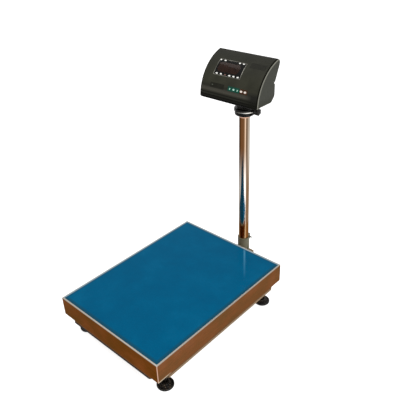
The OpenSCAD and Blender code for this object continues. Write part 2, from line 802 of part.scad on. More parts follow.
// Curved face with rounded edges, cheeks, lower lip and top, open at the back and underneath
module front_housing() {
    window_half = window_h/face_r*90/PI;
    color(charcoal) difference() {
        union() {
            difference() {
                intersection() {
                    face_drum();
                    across(head_w + 2) polygon(rounded(head_pts, head_rounds));
                    head_front(head_w, head_h, head_corner);
                }
                intersection() {
                    across(2*cheek_in) head_outline(head_wall);
                    head_front(2*cheek_in, head_h - head_wall, head_corner - head_wall);
                }
                across(2*cheek_in) cover_zone(0);
            }
            cover_screw_places() rod_y(screw_boss_r, -head_wall - screw_boss_l, -head_wall);
            board_posts();
        }
        translate([window_x, 0, 0]) face_sector(face_r - 2*head_wall, face_r + 1,
            window_a - window_half, window_a + window_half, window_w);
        for (i = [-2:2]) on_face(key_x + i*key_pitch, key_a)
            block_y(key_w + 2*key_fit, key_h + 2*key_fit, 2, -1, head_wall + 1);
        for (i = [1:lip_grooves]) on_face(0, i*lip_groove_a)
            translate([-head_w, -1, -lip_groove_w/2]) cube([2*head_w, 1 + lip_groove_depth, lip_groove_w]);
        cover_screw_places() rod_y(screw_d/2 + seat_fit, -head_wall - screw_boss_l + 1, 1);
    }
}
// Back and underside between the cheeks, with bosses, battery ribs and the holes for the sockets
module rear_cover() {
    color(charcoal) difference() {
        union() {
            across(2*(cheek_in - panel_fit)) difference() {
                intersection() {
                    head_outline(0);
                    cover_zone(panel_fit);
                }
                head_outline(head_wall);
            }
            bracket_screw_places() cylinder(r = screw_boss_r, h = head_wall + rib_h);
            for (x = ribs_x) translate([x - rib_t/2, head_y + core_at[1] - 2, under_z + head_wall - 0.4])
                cube([rib_t, core_size[1] + 2, rib_h + 0.4]);
            for (sx = [-1, 1], sz = [-1, 1]) on_back(sx*(main_board_w/2 - 7), board_s)
                translate([0, 0, sz*(main_board_h/2 - 6)]) rod_y(post_r, -main_board_d, 0.4 - head_wall);
        }
        cover_screw_places() rod_y(screw_d/2 + bolt_fit, -head_wall - 1, 1);
        bracket_screw_places() translate([0, 0, -1])
            cylinder(r = screw_d/2 + seat_fit, h = head_wall + rib_h);
        on_low_back(socket_x) rod_y(socket_body_r + seat_fit, -head_wall - 1, 1);
        on_low_back(inlet_x) block_y(inlet_w + 2*panel_fit, inlet_h + 2*panel_fit, 1, -head_wall - 1, 1);
        on_low_back(switch_x) block_y(switch_w + 2*panel_fit, switch_h + 2*panel_fit, 1, -head_wall - 1, 1);
    }
}

// Bracket under the head: a plate and two ears round the collar's lug
module tilt_bracket() {
    ear_x = lug_w/2 + side_fit;
    plate_y = [head_y + lip_d + 16, tilt_y + lug_r];
    color(black) difference() {
        union() {
            translate([0, (plate_y[0] + plate_y[1])/2, under_z - bracket_plate])
                linear_extrude(bracket_plate) round_rect(plate_w, plate_y[1] - plate_y[0], 4);
            for (sx = [0, 1]) mirror([sx, 0, 0]) {
                translate([ear_x, tilt_y - lug_r, tilt_z])
                    cube([bracket_ear, 2*lug_r, under_z - tilt_z - bracket_plate + 1]);
                translate([ear_x, tilt_y, tilt_z]) rotate([0, 90, 0]) cylinder(r = lug_r, h = bracket_ear);
            }
        }
        translate([0, tilt_y, tilt_z]) rotate([0, 90, 0])
            cylinder(r = tilt_d/2 + run_fit, h = lug_w + 4*bracket_ear, center = true);
        bracket_screw_places() translate([0, 0, -bracket_plate - 1])
            cylinder(r = screw_d/2 + bolt_fit, h = bracket_plate + 2);
    }
}
module tilt_bolt() {
    color("silver") translate([-tilt_grip, tilt_y, tilt_z]) rotate([0, 90, 0])
        bolt(tilt_d, 2*tilt_grip + nut_h*tilt_d + 2, 0.6*tilt_d);
}
module tilt_nut() {
    color("silver") translate([tilt_grip, tilt_y, tilt_z]) rotate([0, 90, 0]) nut(tilt_d, seat_fit);
}
// Pan-head screws of the rear cover and the tilt bracket
module housing_screws() {
    color("silver") {
        cover_screw_places() pan_screw();
        bracket_screw_places() translate([0, 0, -bracket_plate]) rotate([-90, 0, 0]) pan_screw();
    }
}
// Screw along -Y with its domed head on y = 0
module pan_screw() {
    head_r = 0.85*screw_d;
    tip = 0.5 - head_wall - bracket_plate;
    dome = [for (t = [0:15:90]) [head_r*cos(t), 0.3*screw_d*(1 + sin(t))]];
    rotate([-90, 0, 0]) rotate_extrude()
        polygon(concat([[0, tip], [screw_d/2, tip], [screw_d/2, 0], [head_r, 0]], dome));
}

// Indicator head: display, keys and boards

module display_window() {
    half = (window_h/2 - panel_fit)/face_r*180/PI;
    outer = face_r - 0.4;
    color([0.2, 0.09, 0.07]) translate([window_x, 0, 0])
        face_sector(outer - window_t, outer, window_a - half, window_a + half, window_w - 2*panel_fit);
}
module led_display() {
    color([0.12, 0.05, 0.05]) on_face(window_x, window_a) translate([-led_w/2, led_depth[0], -led_h/2])
        cube([led_w, led_depth[1] - led_depth[0], led_h]);
}
module display_board() {
    color("darkgreen") on_face(window_x, window_a)
        block_y(window_w + 2*board_over, board_h, 2, led_depth[1], led_depth[1] + board_t);
}
// Board with a small switch behind each key
module key_board() {
    color("darkgreen") on_face(key_x, key_a) {
        block_y(2*(key_post_x + post_r + 1), key_board_h, 2, key_board_d, key_board_d + board_t);
        for (i = [-2:2]) translate([i*key_pitch - 3, switch_d, -3]) cube([6, key_board_d - switch_d, 6]);
    }
}
module main_board() {
    color("darkgreen") on_back(0, board_s)
        block_y(main_board_w, main_board_h, 2, -main_board_d - board_t, -main_board_d);
}
module key_cap(i, tint) {
    color(tint) on_face(key_x + (i - 3)*key_pitch, key_a) {
        block_y(key_w, key_h, 2, -key_proud, head_wall + 0.6);
        block_y(key_w + 2, key_h + 2, 2, head_wall + 0.5, key_end_d - 1);
        rod_y(2, key_end_d - 1, key_end_d);
    }
}
module battery() {
    color([0.2, 0.2, 0.22]) translate([battery_at[0], head_y + battery_at[1], under_z + head_wall + rib_h])
        cube(battery_size);
}
// Wound core: two yokes, a narrower coil between them and the iron through the coil
module transformer() {
    yoke = 10;
    coil_in = 8;
    color("goldenrod") translate([core_at[0], head_y + core_at[1], under_z + head_wall + rib_h]) {
        for (z = [0, core_size[2] - yoke]) translate([0, 0, z]) cube([core_size[0], core_size[1], yoke]);
        translate([coil_in, 0, yoke/2]) cube([core_size[0] - 2*coil_in, core_size[1], core_size[2] - yoke]);
        translate([0, coil_in, yoke/2]) cube([core_size[0], core_size[1] - 2*coil_in, core_size[2] - yoke]);
    }
}

// Indicator head: sockets and switch on the lower back

// Round socket for the load cell's lead
module cell_socket() {
    color("silver") on_low_back(socket_x) difference() {
        union() {
            rod_y(socket_body_r, -head_wall - 8, 5);
            rod_y(socket_body_r + 3, 0, 2.5);
            rod_y(socket_body_r + 2.5, -head_wall - 3, -head_wall);
        }
        difference() {
            rod_y(socket_body_r - 1.5, -6, 6);
            for (i = [0:4]) rotate([0, i*72, 0]) translate([3.6, 0, 0]) rod_y(0.8, -7, 3);
        }
    }
}
// Three-pin power inlet
module power_inlet() {
    color(black) on_low_back(inlet_x) difference() {
        union() {
            block_y(inlet_w + 4, inlet_h + 4, 2, 0, 2);
            block_y(inlet_w, inlet_h, 1, -16, 1);
        }
        difference() {
            block_y(inlet_w - 4, inlet_h - 4, 2, -14, 3);
            for (p = [[-7, 2], [0, -2], [7, 2]]) translate([p[0] - 1, -15, p[1] - 2]) cube([2, 13, 4]);
        }
    }
}
module switch_frame() {
    color(black) on_low_back(switch_x) difference() {
        union() {
            block_y(switch_w + 2.4, switch_h + 2.4, 1.5, 0, 1.6);
            block_y(switch_w, switch_h, 1, -12, 1);
        }
        translate([-switch_w/2 + 1.2, -10, -rocker_r - 0.4]) cube([switch_w - 2.4, 14, 2*rocker_r + 0.8]);
        translate([0, rocker_y, 0]) rotate([0, 90, 0])
            cylinder(r = pin_r + run_fit, h = switch_w - 0.8, center = true);
    }
}
// Rocker at rest in its off position
module power_rocker() {
    z = 0.9*rocker_r;
    color([0.5, 0.05, 0.05]) on_low_back(switch_x) translate([0, rocker_y, 0]) rotate([rocker_rest, 0, 0]) {
        rotate([90, 0, 90]) linear_extrude(switch_w - 3, center = true)
            polygon([[-3, -z*0.7], [2.6, -z], [1.8, 0], [2.6, z], [-3, z*0.7]]);
        rotate([0, 90, 0]) cylinder(r = pin_r, h = switch_w - 1.2, center = true);
    }
}

base_rail(-1);  // base_left_rail
base_rail(1);  // base_right_rail
base_beam(-1);  // base_front_beam
base_beam(1);  // base_rear_beam
base_centre_beam();
foot_brackets();
foot_lock_nuts();
load_cell();
cell_spacer(1, beam_top);  // cell_lower_spacer
cell_spacer(-1, cell_z + cell_h);  // cell_upper_spacer
cell_bolts();
overload_stops();
stop_lock_nuts();
upper_rail(-1);  // upper_left_rail
upper_rail(1);  // upper_right_rail
upper_beam(-1);  // upper_front_beam
upper_beam(1);  // upper_rear_beam
upper_centre_beam();
platter_cushions();
column_arm();
arm_bolts();
column_socket();
socket_pinch_bolt();
foot_pad(-1, -1);  // foot_pad_front_left
foot_stud(-1, -1);  // foot_stud_front_left
foot_pad(1, -1);  // foot_pad_front_right
foot_stud(1, -1);  // foot_stud_front_right
foot_pad(-1, 1);  // foot_pad_rear_left
foot_stud(-1, 1);  // foot_stud_rear_left
foot_pad(1, 1);  // foot_pad_rear_right
foot_stud(1, 1);  // foot_stud_rear_right
platter_pan();
platter_cover();
column_tube();
column_cap();
swivel_collar();
swivel_knob();
knob_screw();
front_housing();
rear_cover();
tilt_bracket();
tilt_bolt();
tilt_nut();
housing_screws();
display_window();
led_display();
display_board();
key_board();
main_board();
battery();
transformer();
cell_socket();
power_inlet();
switch_frame();
power_rocker();
key_cap(1, key_green);  // key_1
key_cap(2, key_green);  // key_2
key_cap(3, key_green);  // key_3
key_cap(4, key_cream);  // key_4
key_cap(5, key_cream);  // key_5
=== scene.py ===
"""Looks of a floor platform scale: folded steel platter, column, and a moulded indicator head.

Outlines are drawn in millimetres. Every piece ends in metres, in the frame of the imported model,
and rides on one of its bodies.
"""
import json
import math

import bmesh
import bpy
from mathutils import Matrix, Vector


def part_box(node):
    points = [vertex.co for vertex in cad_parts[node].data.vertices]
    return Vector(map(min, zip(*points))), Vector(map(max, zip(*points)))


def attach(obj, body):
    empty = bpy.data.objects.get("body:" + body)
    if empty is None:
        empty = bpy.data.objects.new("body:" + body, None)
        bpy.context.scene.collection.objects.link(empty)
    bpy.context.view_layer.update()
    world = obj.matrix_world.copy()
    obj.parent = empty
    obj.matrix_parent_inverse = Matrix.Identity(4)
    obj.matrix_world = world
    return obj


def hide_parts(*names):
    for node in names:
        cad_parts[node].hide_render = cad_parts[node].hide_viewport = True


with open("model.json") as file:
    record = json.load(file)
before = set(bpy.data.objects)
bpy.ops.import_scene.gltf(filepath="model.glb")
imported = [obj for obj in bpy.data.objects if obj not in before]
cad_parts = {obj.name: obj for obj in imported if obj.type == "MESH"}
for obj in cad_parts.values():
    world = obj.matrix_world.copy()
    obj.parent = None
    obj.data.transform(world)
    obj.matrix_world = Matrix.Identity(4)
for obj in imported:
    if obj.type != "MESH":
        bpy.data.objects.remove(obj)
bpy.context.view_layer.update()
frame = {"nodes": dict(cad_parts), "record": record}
nodes = frame["nodes"]
MM = 0.001

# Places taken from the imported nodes, in metres
COLUMN_Y = sum(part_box("column_tube")[i].y for i in (0, 1)) / 2
CAP_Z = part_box("column_cap")[0].z
COLLAR_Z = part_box("swivel_collar")[0].z
FRAME_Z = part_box("base_front_beam")[0].z
PAN_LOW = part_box("platter_pan")[0]
KNOB_LOW, KNOB_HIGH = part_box("swivel_knob")
KNOB_Z = (KNOB_LOW.z + KNOB_HIGH.z) / 2

# The head, in millimetres
FACE_R = 146.0                      # radius of the curved face
HEAD_W = 238.0
HEAD_H = 141.0
HEAD_Y = COLUMN_Y / MM - 93.0       # lower front edge
HEAD_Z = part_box("front_housing")[0].z / MM
METRES = Matrix.Scale(MM, 4)
HEAD = Matrix.Translation((0, HEAD_Y * MM, HEAD_Z * MM)) @ METRES
SIDEWAYS = Matrix.Rotation(math.pi / 2, 4, "Y")     # lays a piece drawn along Z along X
INWARDS = Matrix.Rotation(math.pi / 2, 4, "X")      # lays a piece drawn along Z along Y


# Colour and node helpers

def linear(hex_colour):
    """sRGB hex colour as linear RGBA."""
    channels = [int(hex_colour[i:i + 2], 16) / 255 for i in (1, 3, 5)]
    return [c / 12.92 if c <= 0.04045 else ((c + 0.055) / 1.055) ** 2.4 for c in channels] + [1.0]


def fill(node, sockets):
    """Gives each named socket of a node a value, a hex colour or the output of another node."""
    for key, value in sockets.items():
        if isinstance(value, bpy.types.NodeSocket):
            node.id_data.links.new(value, node.inputs[key])
        else:
            node.inputs[key].default_value = linear(value) if isinstance(value, str) else value


def put(tree, kind, sockets, out=None, stops=(), **settings):
    """Adds a shader node with its settings, links and (position, hex colour) stops.

    Gives one of its outputs: the named one, or the first that is in use.
    """
    made = tree.nodes.new("ShaderNode" + kind)
    for key, value in settings.items():
        setattr(made, key, value)
    for _ in stops[2:]:
        made.color_ramp.elements.new(0.5)
    for i, (place, colour) in enumerate(stops):
        made.color_ramp.elements[i].position = place
        made.color_ramp.elements[i].color = linear(colour)
    fill(made, sockets)
    return made.outputs[out] if out else next((s for s in made.outputs if s.enabled), None)


def finish(name):
    """New material: (material, node tree, shader)."""
    made = bpy.data.materials.new(name)
    made.use_nodes = True
    return made, made.node_tree, made.node_tree.nodes["Principled BSDF"]


def grain(tree, size_mm, stretch=(1, 1, 1), detail=2.0):
    """Noise on Object coordinates whose spots are about size_mm across, drawn out along an axis."""
    place = put(tree, "Mapping", {"Vector": put(tree, "TexCoord", {}, "Object"), "Scale": stretch})
    return put(tree, "TexNoise", {"Vector": place, "Scale": 1 / (size_mm * MM), "Detail": detail})


def along(tree, space, axis):
    """One coordinate of the place (space Object) or of the way the surface faces (space Normal)."""
    return put(tree, "SeparateXYZ", {"Vector": put(tree, "TexCoord", {}, space)}, axis)


def zone(tree, space, axis, start, end, most=1.0):
    """Mask along an axis of the place or of the normal: 0 at start, growing to its most at end."""
    return put(tree, "MapRange", {"Value": along(tree, space, axis), "From Min": start, "From Max": end,
                                  "To Max": most})


def round_column(tree):
    """Turn about the column's axis as 0 to 1: from the left by the front at 0.25 and the right at 0.5."""
    place = put(tree, "Mapping", {"Vector": put(tree, "TexCoord", {}, "Object"),
                                  "Location": (0, -COLUMN_Y, 0)})
    x, y = (put(tree, "SeparateXYZ", {"Vector": place}, axis) for axis in "XY")
    turn = put(tree, "Math", {0: y, 1: x}, operation="ARCTAN2")
    return put(tree, "MapRange", {"Value": turn, "From Min": -math.pi, "From Max": math.pi})


def painted(tree, tone, *coats):
    """A tone with (mask, colour) coats laid over it in turn, each as far as its mask says."""
    for mask, colour in coats:
        tone = put(tree, "Mix", {"Factor": mask, "A": tone, "B": colour}, data_type="RGBA")
    return tone


# Materials

def rolled_stainless_sheet():
    # Cold-rolled, bright-annealed steel: a soft mirror, silver on the level border and its bend. On the
    # upright skirts its base colour is a painted reflection of warm brown surroundings, darker on the front
    # and back skirts and lighter on the side skirts as painted shade and light, with a painted highlight down
    # the upright corners. Its lower edge carries a painted pale highlight beside the front right corner.
    look, tree, shader = finish("rolled_stainless_sheet")
    lines = grain(tree, 1.2, (0.02, 0.02, 1.0))     # real rolling lines are 0.1 mm apart, 1.2 mm shows
    cloud = grain(tree, 90, (1, 1, 1.5))            # slow change of tone over 90 mm
    x, y, z = (along(tree, "Normal", axis) for axis in "XYZ")
    fold = put(tree, "Math", {0: x, 1: y}, operation="MULTIPLY")
    side, fold, level = (put(tree, "Math", {0: value}, operation="ABSOLUTE") for value in (x, fold, z))
    # painted highlight down the upright corners of the pan
    corner = put(tree, "MapRange", {"Value": fold, "From Min": 0.26, "From Max": 0.46})
    level = put(tree, "MapRange", {"Value": level, "From Min": 0.3, "From Max": 0.8})
    # painted pale highlight along the lower edge of the right skirt beside the front corner
    pale_edge_highlight = put(tree, "Math", {0: zone(tree, "Object", "Z", PAN_LOW.z + 0.007, PAN_LOW.z + 0.0045),
                                1: zone(tree, "Object", "Y", PAN_LOW.y + 0.055, PAN_LOW.y + 0.035)},
                 operation="MULTIPLY")
    pale_edge_highlight = put(tree, "Math", {0: pale_edge_highlight, 1: zone(tree, "Normal", "X", 0.5, 0.9)}, operation="MULTIPLY")
    # painted reflection of brown surroundings: a darker front tone and a lighter side tone, as painted shade
    # and light
    front, right, streak = (put(tree, "ValToRGB", {"Fac": pattern}, stops=stops) for pattern, stops in (
        (cloud, [(0.3, "#5e3a14"), (0.5, "#683c18"), (0.7, "#76431f")]),
        (cloud, [(0.3, "#6c4d30"), (0.5, "#784f31"), (0.7, "#80553b")]),
        (lines, [(0.35, "#3a2412"), (0.65, "#c79a70")])))
    skirt = put(tree, "Mix", {"Factor": 0.22, "A": painted(tree, front, (side, right)), "B": streak},
                data_type="RGBA", blend_type="SOFT_LIGHT")
    fill(shader, {
        "Base Color": painted(tree, skirt, (corner, "#c3a08d"), (level, "#aeaaa1"), (pale_edge_highlight, "#b5a690")),
        "Metallic": 1.0, "Specular Tint": "#bbbbb7",
        "Roughness": put(tree, "MapRange", {"Value": lines, "To Min": 0.2, "To Max": 0.36}),
        "Normal": put(tree, "Bump", {"Height": lines, "Distance": 0.02 * MM, "Strength": 0.15})})
    return look


def drawn_stainless_tube():
    # Drawn and polished tube whose base colour is painted reflection: long streaks along its length, one a
    # painted highlight, between warm brown bands. The streaks of its lower half and of its foot are others
    # than those of its upper half, and a painted pale highlight rings it just below the cap.
    look, tree, shader = finish("drawn_stainless_tube")
    around = round_column(tree)
    # painted reflections and highlights, set by the turn about the column
    upper, lower, foot = (put(tree, "ValToRGB", {"Fac": around}, stops=stops) for stops in (
        [(0.00, "#8d7158"), (0.14, "#5a3c25"), (0.20, "#3c2612"), (0.265, "#664226"), (0.33, "#604127"),
         (0.355, "#866549"), (0.382, "#d8bca3"), (0.402, "#5e4630"), (0.418, "#5e4935"), (0.45, "#7d6b5b"),
         (0.50, "#b8ab9d"), (0.54, "#d6cfc4"), (0.60, "#b4a797"), (0.72, "#6b4a30"), (0.86, "#a08a74"),
         (1.00, "#8d7158")],
        [(0.00, "#a39b92"), (0.33, "#a39b92"), (0.345, "#d8d0c8"), (0.364, "#fffaf4"), (0.398, "#fff6ee"),
         (0.420, "#765a41"), (0.48, "#74583f"), (0.51, "#866950"), (0.56, "#cbbca9"), (0.75, "#8f7f70"),
         (1.00, "#a39b92")],
        [(0.00, "#8d7158"), (0.20, "#8a6a44"), (0.30, "#a07c50"), (0.345, "#a88458"), (0.375, "#c09a70"),
         (0.412, "#ba966e"), (0.44, "#764b21"), (0.60, "#6c431d"), (0.66, "#c8a888"), (0.75, "#8f7f70"),
         (1.00, "#8d7158")]))
    half = put(tree, "MapRange", {"Value": along(tree, "Object", "Z"), "From Min": 0.33, "From Max": 0.52},
               interpolation_type="SMOOTHSTEP")
    above_foot = zone(tree, "Object", "Z", 0.19, 0.215)     # heights above the floor, in metres
    # painted pale highlight ring just below the cap
    end = zone(tree, "Object", "Z", CAP_Z - 0.0062, CAP_Z - 0.005)
    hair = grain(tree, 0.8, (1, 1, 0.01))           # real polishing hairlines are 0.1 mm apart, 0.8 mm shows
    fill(shader, {
        "Base Color": painted(tree, foot, (above_foot, painted(tree, lower, (half, upper))),
                              (end, "#b8937f")),
        "Metallic": 1.0, "Specular Tint": "#bcbcbc",
        "Roughness": put(tree, "MapRange", {"Value": hair, "To Min": 0.1, "To Max": 0.2})})
    return look


def baked_blue_enamel():
    # Sprayed and baked enamel on sheet: a deep blue with faint clouding and a fine orange peel, darker
    # towards the sheet's edges, with a painted pale highlight along the back and left edges and one painted
    # pale reflection of the column before it.
    look, tree, shader = finish("baked_blue_enamel")
    cloud = grain(tree, 60, detail=4.0)
    fleck = grain(tree, 3.0, detail=1.0)            # real orange peel is about 1 mm, 3 mm shows
    base, specks = (put(tree, "ValToRGB", {"Fac": pattern}, stops=stops) for pattern, stops in (
        (cloud, [(0.3, "#005e85"), (0.55, "#006289"), (0.75, "#04678e")]),
        (fleck, [(0.3, "#5f6f78"), (0.5, "#808080"), (0.72, "#9aa4a8")])))
    tone = put(tree, "Mix", {"Factor": 0.35, "A": base, "B": specks}, data_type="RGBA",
               blend_type="SOFT_LIGHT")
    # painted reflection of the column: a pale streak that fades away from it
    across, onward = (put(tree, "VectorMath", {0: put(tree, "TexCoord", {}, "Object"), 1: way},
                          operation="DOT_PRODUCT") for way in ((0.789, 0.614, 0), (0.614, -0.789, 0)))
    off = put(tree, "Math", {0: across, 1: 0.2}, operation="SUBTRACT")
    off = put(tree, "Math", {0: off}, operation="ABSOLUTE")
    near = put(tree, "MapRange", {"Value": off, "From Min": 0.005, "From Max": 0.001})
    fade = put(tree, "MapRange", {"Value": onward, "From Min": 0.03, "From Max": -0.12, "To Max": 0.6})
    column_reflection = put(tree, "Math", {0: near, 1: fade}, operation="MULTIPLY")
    low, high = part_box("platter_cover")
    edges = []
    for axis, a, b in (("X", low.x, high.x), ("Y", low.y, high.y)):
        away = put(tree, "Math", {0: along(tree, "Object", axis), 1: (a + b) / 2}, operation="SUBTRACT")
        away = put(tree, "Math", {0: away}, operation="ABSOLUTE")
        edges.append(put(tree, "MapRange", {"Value": away, "From Min": (b - a) / 2 - 0.013,
                                            "From Max": (b - a) / 2 - 0.005, "To Max": 0.75}))
    edge = put(tree, "Math", dict(enumerate(edges)), operation="MAXIMUM")
    # painted pale highlight along the left and back edges
    left = zone(tree, "Object", "X", low.x + 0.006, low.x + 0.003, 0.8)
    back = zone(tree, "Object", "Y", high.y - 0.006, high.y - 0.003, 0.8)
    fill(shader, {
        "Base Color": painted(tree, tone, (column_reflection, "#4c94b6"), (edge, "#1a4858"), (left, "#a9bcc6"),
                              (back, "#a9bcc6")),
        "Specular IOR Level": 0.02, "IOR": 1.5,
        "Roughness": put(tree, "MapRange", {"Value": cloud, "To Min": 0.12, "To Max": 0.26}),
        "Normal": put(tree, "Bump", {"Height": fleck, "Distance": 0.06 * MM, "Strength": 0.3})})
    return look


def moulded_charcoal_abs():
    # Injection-moulded ABS with a spark-eroded skin: satin charcoal that breaks up highlights. The lip
    # carries painted bands of light and shade, darker at its right end and at its bottom as painted shade;
    # faces that look up carry painted shade, and the rounded rim carries painted shade with a painted
    # highlight where it meets the cheek.
    look, tree, shader = finish("moulded_charcoal_abs")
    skin = grain(tree, 1.0, detail=3.0)             # real grain is 0.3 mm, 1 mm shows
    face = put(tree, "ValToRGB", {"Fac": grain(tree, 45)}, stops=[(0.3, "#25251b"), (0.7, "#303025")])
    up = zone(tree, "Object", "Z", HEAD_Z * MM, (HEAD_Z + 60.0) * MM)
    # painted light and shade in bands up the lip: dark at its bottom, a lit band higher up
    lip = put(tree, "ValToRGB", {"Fac": up}, stops=[
        (0.10, "#050403"), (0.15, "#080705"), (0.20, "#1e1d18"), (0.255, "#090806"), (0.335, "#25251e"),
        (0.415, "#15150f"), (0.47, "#29281f"), (0.55, "#413f37"), (0.64, "#3c3a32"), (0.75, "#1c1c14")])
    # painted shade at the right end of the lip
    lip = painted(tree, lip, (zone(tree, "Object", "X", 0.066, 0.094), "#13130d"))
    low = put(tree, "MapRange", {"Value": up, "From Min": 0.7, "From Max": 0.9, "To Min": 1.0,
                                 "To Max": 0.0})
    # painted shade on faces that look up
    upward = zone(tree, "Normal", "Z", 0.6, 0.95, 0.7)
    side = put(tree, "Math", {0: along(tree, "Normal", "X")}, operation="ABSOLUTE")
    # painted shade on the rounded rim, then a painted highlight where it meets the cheek
    rim = put(tree, "ValToRGB", {"Fac": side}, stops=[
        (0.25, "#191914"), (0.68, "#0c0c09"), (0.80, "#84847a"), (0.95, "#7c7c72"), (0.985, "#32332d"),
        (1.0, "#393a33")])
    turned_in = put(tree, "MapRange", {"Value": side, "From Min": 0.06, "From Max": 0.25})
    gloss = put(tree, "MapRange", {"Value": up, "From Min": 0.1, "From Max": 0.6, "To Min": 0.02,
                                   "To Max": 0.12})
    off_rim = put(tree, "ValToRGB", {"Fac": side}, stops=[
        (0.06, "#ffffff"), (0.25, "#000000"), (0.93, "#000000"), (0.985, "#ffffff")])
    fill(shader, {
        "Base Color": painted(tree, face, (low, lip), (upward, "#12120b"), (turned_in, rim)),
        "Specular IOR Level": put(tree, "Math", {0: gloss, 1: off_rim}, operation="MULTIPLY"), "IOR": 1.53,
        "Roughness": put(tree, "MapRange", {"Value": skin, "To Min": 0.42, "To Max": 0.58}),
        "Normal": put(tree, "Bump", {"Height": skin, "Distance": 0.08 * MM, "Strength": 0.35})})
    return look


def glossy_black_nylon():
    # Moulded glass-filled nylon from a polished tool: near black with sharp highlights.
    look, tree, shader = finish("glossy_black_nylon")
    cloud = grain(tree, 12)
    fill(shader, {
        "Base Color": put(tree, "ValToRGB", {"Fac": cloud}, stops=[(0.3, "#0b0907"), (0.7, "#14110d")]),
        "Specular IOR Level": 0.12, "IOR": 1.53,
        "Roughness": put(tree, "MapRange", {"Value": cloud, "To Min": 0.16, "To Max": 0.28})})
    return look


def moulded_rubber(name, light, speckle_z=0.0):
    # Compression-moulded black rubber: dull, with grey speckle above a given height, which on the foot pads
    # is a painted highlight on their upper faces.
    look, tree, shader = finish(name)
    grey_speckle = grain(tree, 5, detail=4.0)
    skin = grain(tree, 0.9)                         # real grain is 0.3 mm, 0.9 mm shows
    grey = put(tree, "ValToRGB", {"Fac": grey_speckle}, stops=[(0.38, "#050505"), (0.55, "#14110e"), (0.72, light)])
    fill(shader, {
        # grey speckle above the given height: a painted highlight on the upper faces of the foot pads
        "Base Color": painted(tree, "#070605", (zone(tree, "Object", "Z", speckle_z, speckle_z + 0.0008), grey)),
        "Specular IOR Level": 0.25, "IOR": 1.52,
        "Roughness": put(tree, "MapRange", {"Value": grey_speckle, "To Min": 0.35, "To Max": 0.6}),
        "Normal": put(tree, "Bump", {"Height": skin, "Distance": 0.05 * MM, "Strength": 0.4})})
    return look


def sprayed_grey_steel():
    # Sprayed paint on welded steel: even grey with orange peel and slow clouding.
    look, tree, shader = finish("sprayed_grey_steel")
    cloud = grain(tree, 40, detail=4.0)
    fill(shader, {
        "Base Color": put(tree, "ValToRGB", {"Fac": cloud}, stops=[(0.3, "#65634f"), (0.7, "#75735f")]),
        "Specular IOR Level": 0.35, "IOR": 1.5,
        "Roughness": put(tree, "MapRange", {"Value": cloud, "To Min": 0.47, "To Max": 0.65}),
        "Normal": put(tree, "Bump", {"Height": grain(tree, 1.8), "Distance": 0.08 * MM, "Strength": 0.3})})
    return look


def sprayed_frame_steel():
    # Brown frame paint with painted light and shade: a darker copy on the faces that look forward as painted
    # shade, and along its lowest edge a painted pale highlight at the sides and painted shade at the front.
    look, tree, shader = finish("sprayed_frame_steel")
    cloud = grain(tree, 40, detail=4.0)
    tones = []
    # lowest-edge colour, band height and paint: a painted pale highlight at the sides, painted shade at the
    # front
    for edge, edge_band_height, dark, light in (("#917a60", 0.008, "#5e4126", "#6c4a2c"),
                                    ("#0f0602", 0.0065, "#5a3714", "#6a401d")):
        paint = put(tree, "ValToRGB", {"Fac": cloud}, stops=[(0.3, dark), (0.7, light)])
        above_edge_band = zone(tree, "Object", "Z", FRAME_Z + edge_band_height, FRAME_Z + edge_band_height + 0.0015)
        tones.append(painted(tree, edge, (above_edge_band, paint)))
    side, front = tones
    fill(shader, {
        # darker copy on the faces that look forward: painted shade
        "Base Color": painted(tree, side, (zone(tree, "Normal", "Y", -0.3, -0.9), front)),
        "Specular IOR Level": 0.04, "IOR": 1.5,
        "Roughness": put(tree, "MapRange", {"Value": cloud, "To Min": 0.4, "To Max": 0.6}),
        "Normal": put(tree, "Bump", {"Height": grain(tree, 1.8), "Distance": 0.08 * MM, "Strength": 0.3})})
    return look


def bare_metal(name, dark, light, rough, spot_mm=6.0, stretch=(1, 1, 1)):
    # Bare or plated metal with cloudy reflections from its plating or machining. Mill marks and core
    # laminations are drawn a few times coarser than real, so that they show.
    look, tree, shader = finish(name)
    cloud = grain(tree, spot_mm, stretch, detail=3.0)
    fill(shader, {
        "Base Color": put(tree, "ValToRGB", {"Fac": cloud}, stops=[(0.3, dark), (0.7, light)]),
        "Metallic": 1.0,
        "Roughness": put(tree, "MapRange", {"Value": cloud, "To Min": rough - 0.06, "To Max": rough + 0.1})})
    return look


def plastic_or_print(name, dark, light, rough, spot_mm=5.0, gloss=0.35):
    # Moulded plastic or a print on it, with a slightly uneven skin.
    look, tree, shader = finish(name)
    cloud = grain(tree, spot_mm, detail=3.0)
    fill(shader, {
        "Base Color": put(tree, "ValToRGB", {"Fac": cloud}, stops=[(0.3, dark), (0.7, light)]),
        "Specular IOR Level": gloss, "IOR": 1.49,
        "Roughness": put(tree, "MapRange", {"Value": cloud, "To Min": rough - 0.05, "To Max": rough + 0.07}),
        "Normal": put(tree, "Bump", {"Height": cloud, "Distance": 0.03 * MM, "Strength": 0.25})})
    return look


def rim_band_painted_highlight():
    # Plated ring at the foot of the collar, with a painted highlight at the front and dark elsewhere.
    look, tree, shader = finish("rim_band_painted_highlight")
    fill(shader, {
        "Base Color": put(tree, "ValToRGB", {"Fac": round_column(tree)}, stops=[
            (0.22, "#1c1b18"), (0.29, "#77756e"), (0.34, "#b8b5ae"), (0.40, "#dedbd4"), (0.46, "#c8c5be"),
            (0.52, "#3c3b37")]),
        "Metallic": 1.0,
        "Roughness": put(tree, "MapRange", {"Value": grain(tree, 5.0), "To Min": 0.16, "To Max": 0.3})})
    return look


def tinted_acrylic():
    # Cast red-brown acrylic filter: lets the display through, mirrors the room on its face.
    look, tree, shader = finish("tinted_acrylic")
    wave = grain(tree, 14)
    fill(shader, {
        "Base Color": put(tree, "ValToRGB", {"Fac": wave}, stops=[(0.3, "#311f17"), (0.7, "#442a20")]),
        "Transmission Weight": 0.55, "IOR": 1.49, "Specular Tint": "#404040",
        "Roughness": put(tree, "MapRange", {"Value": wave, "To Min": 0.02, "To Max": 0.07})})
    return look


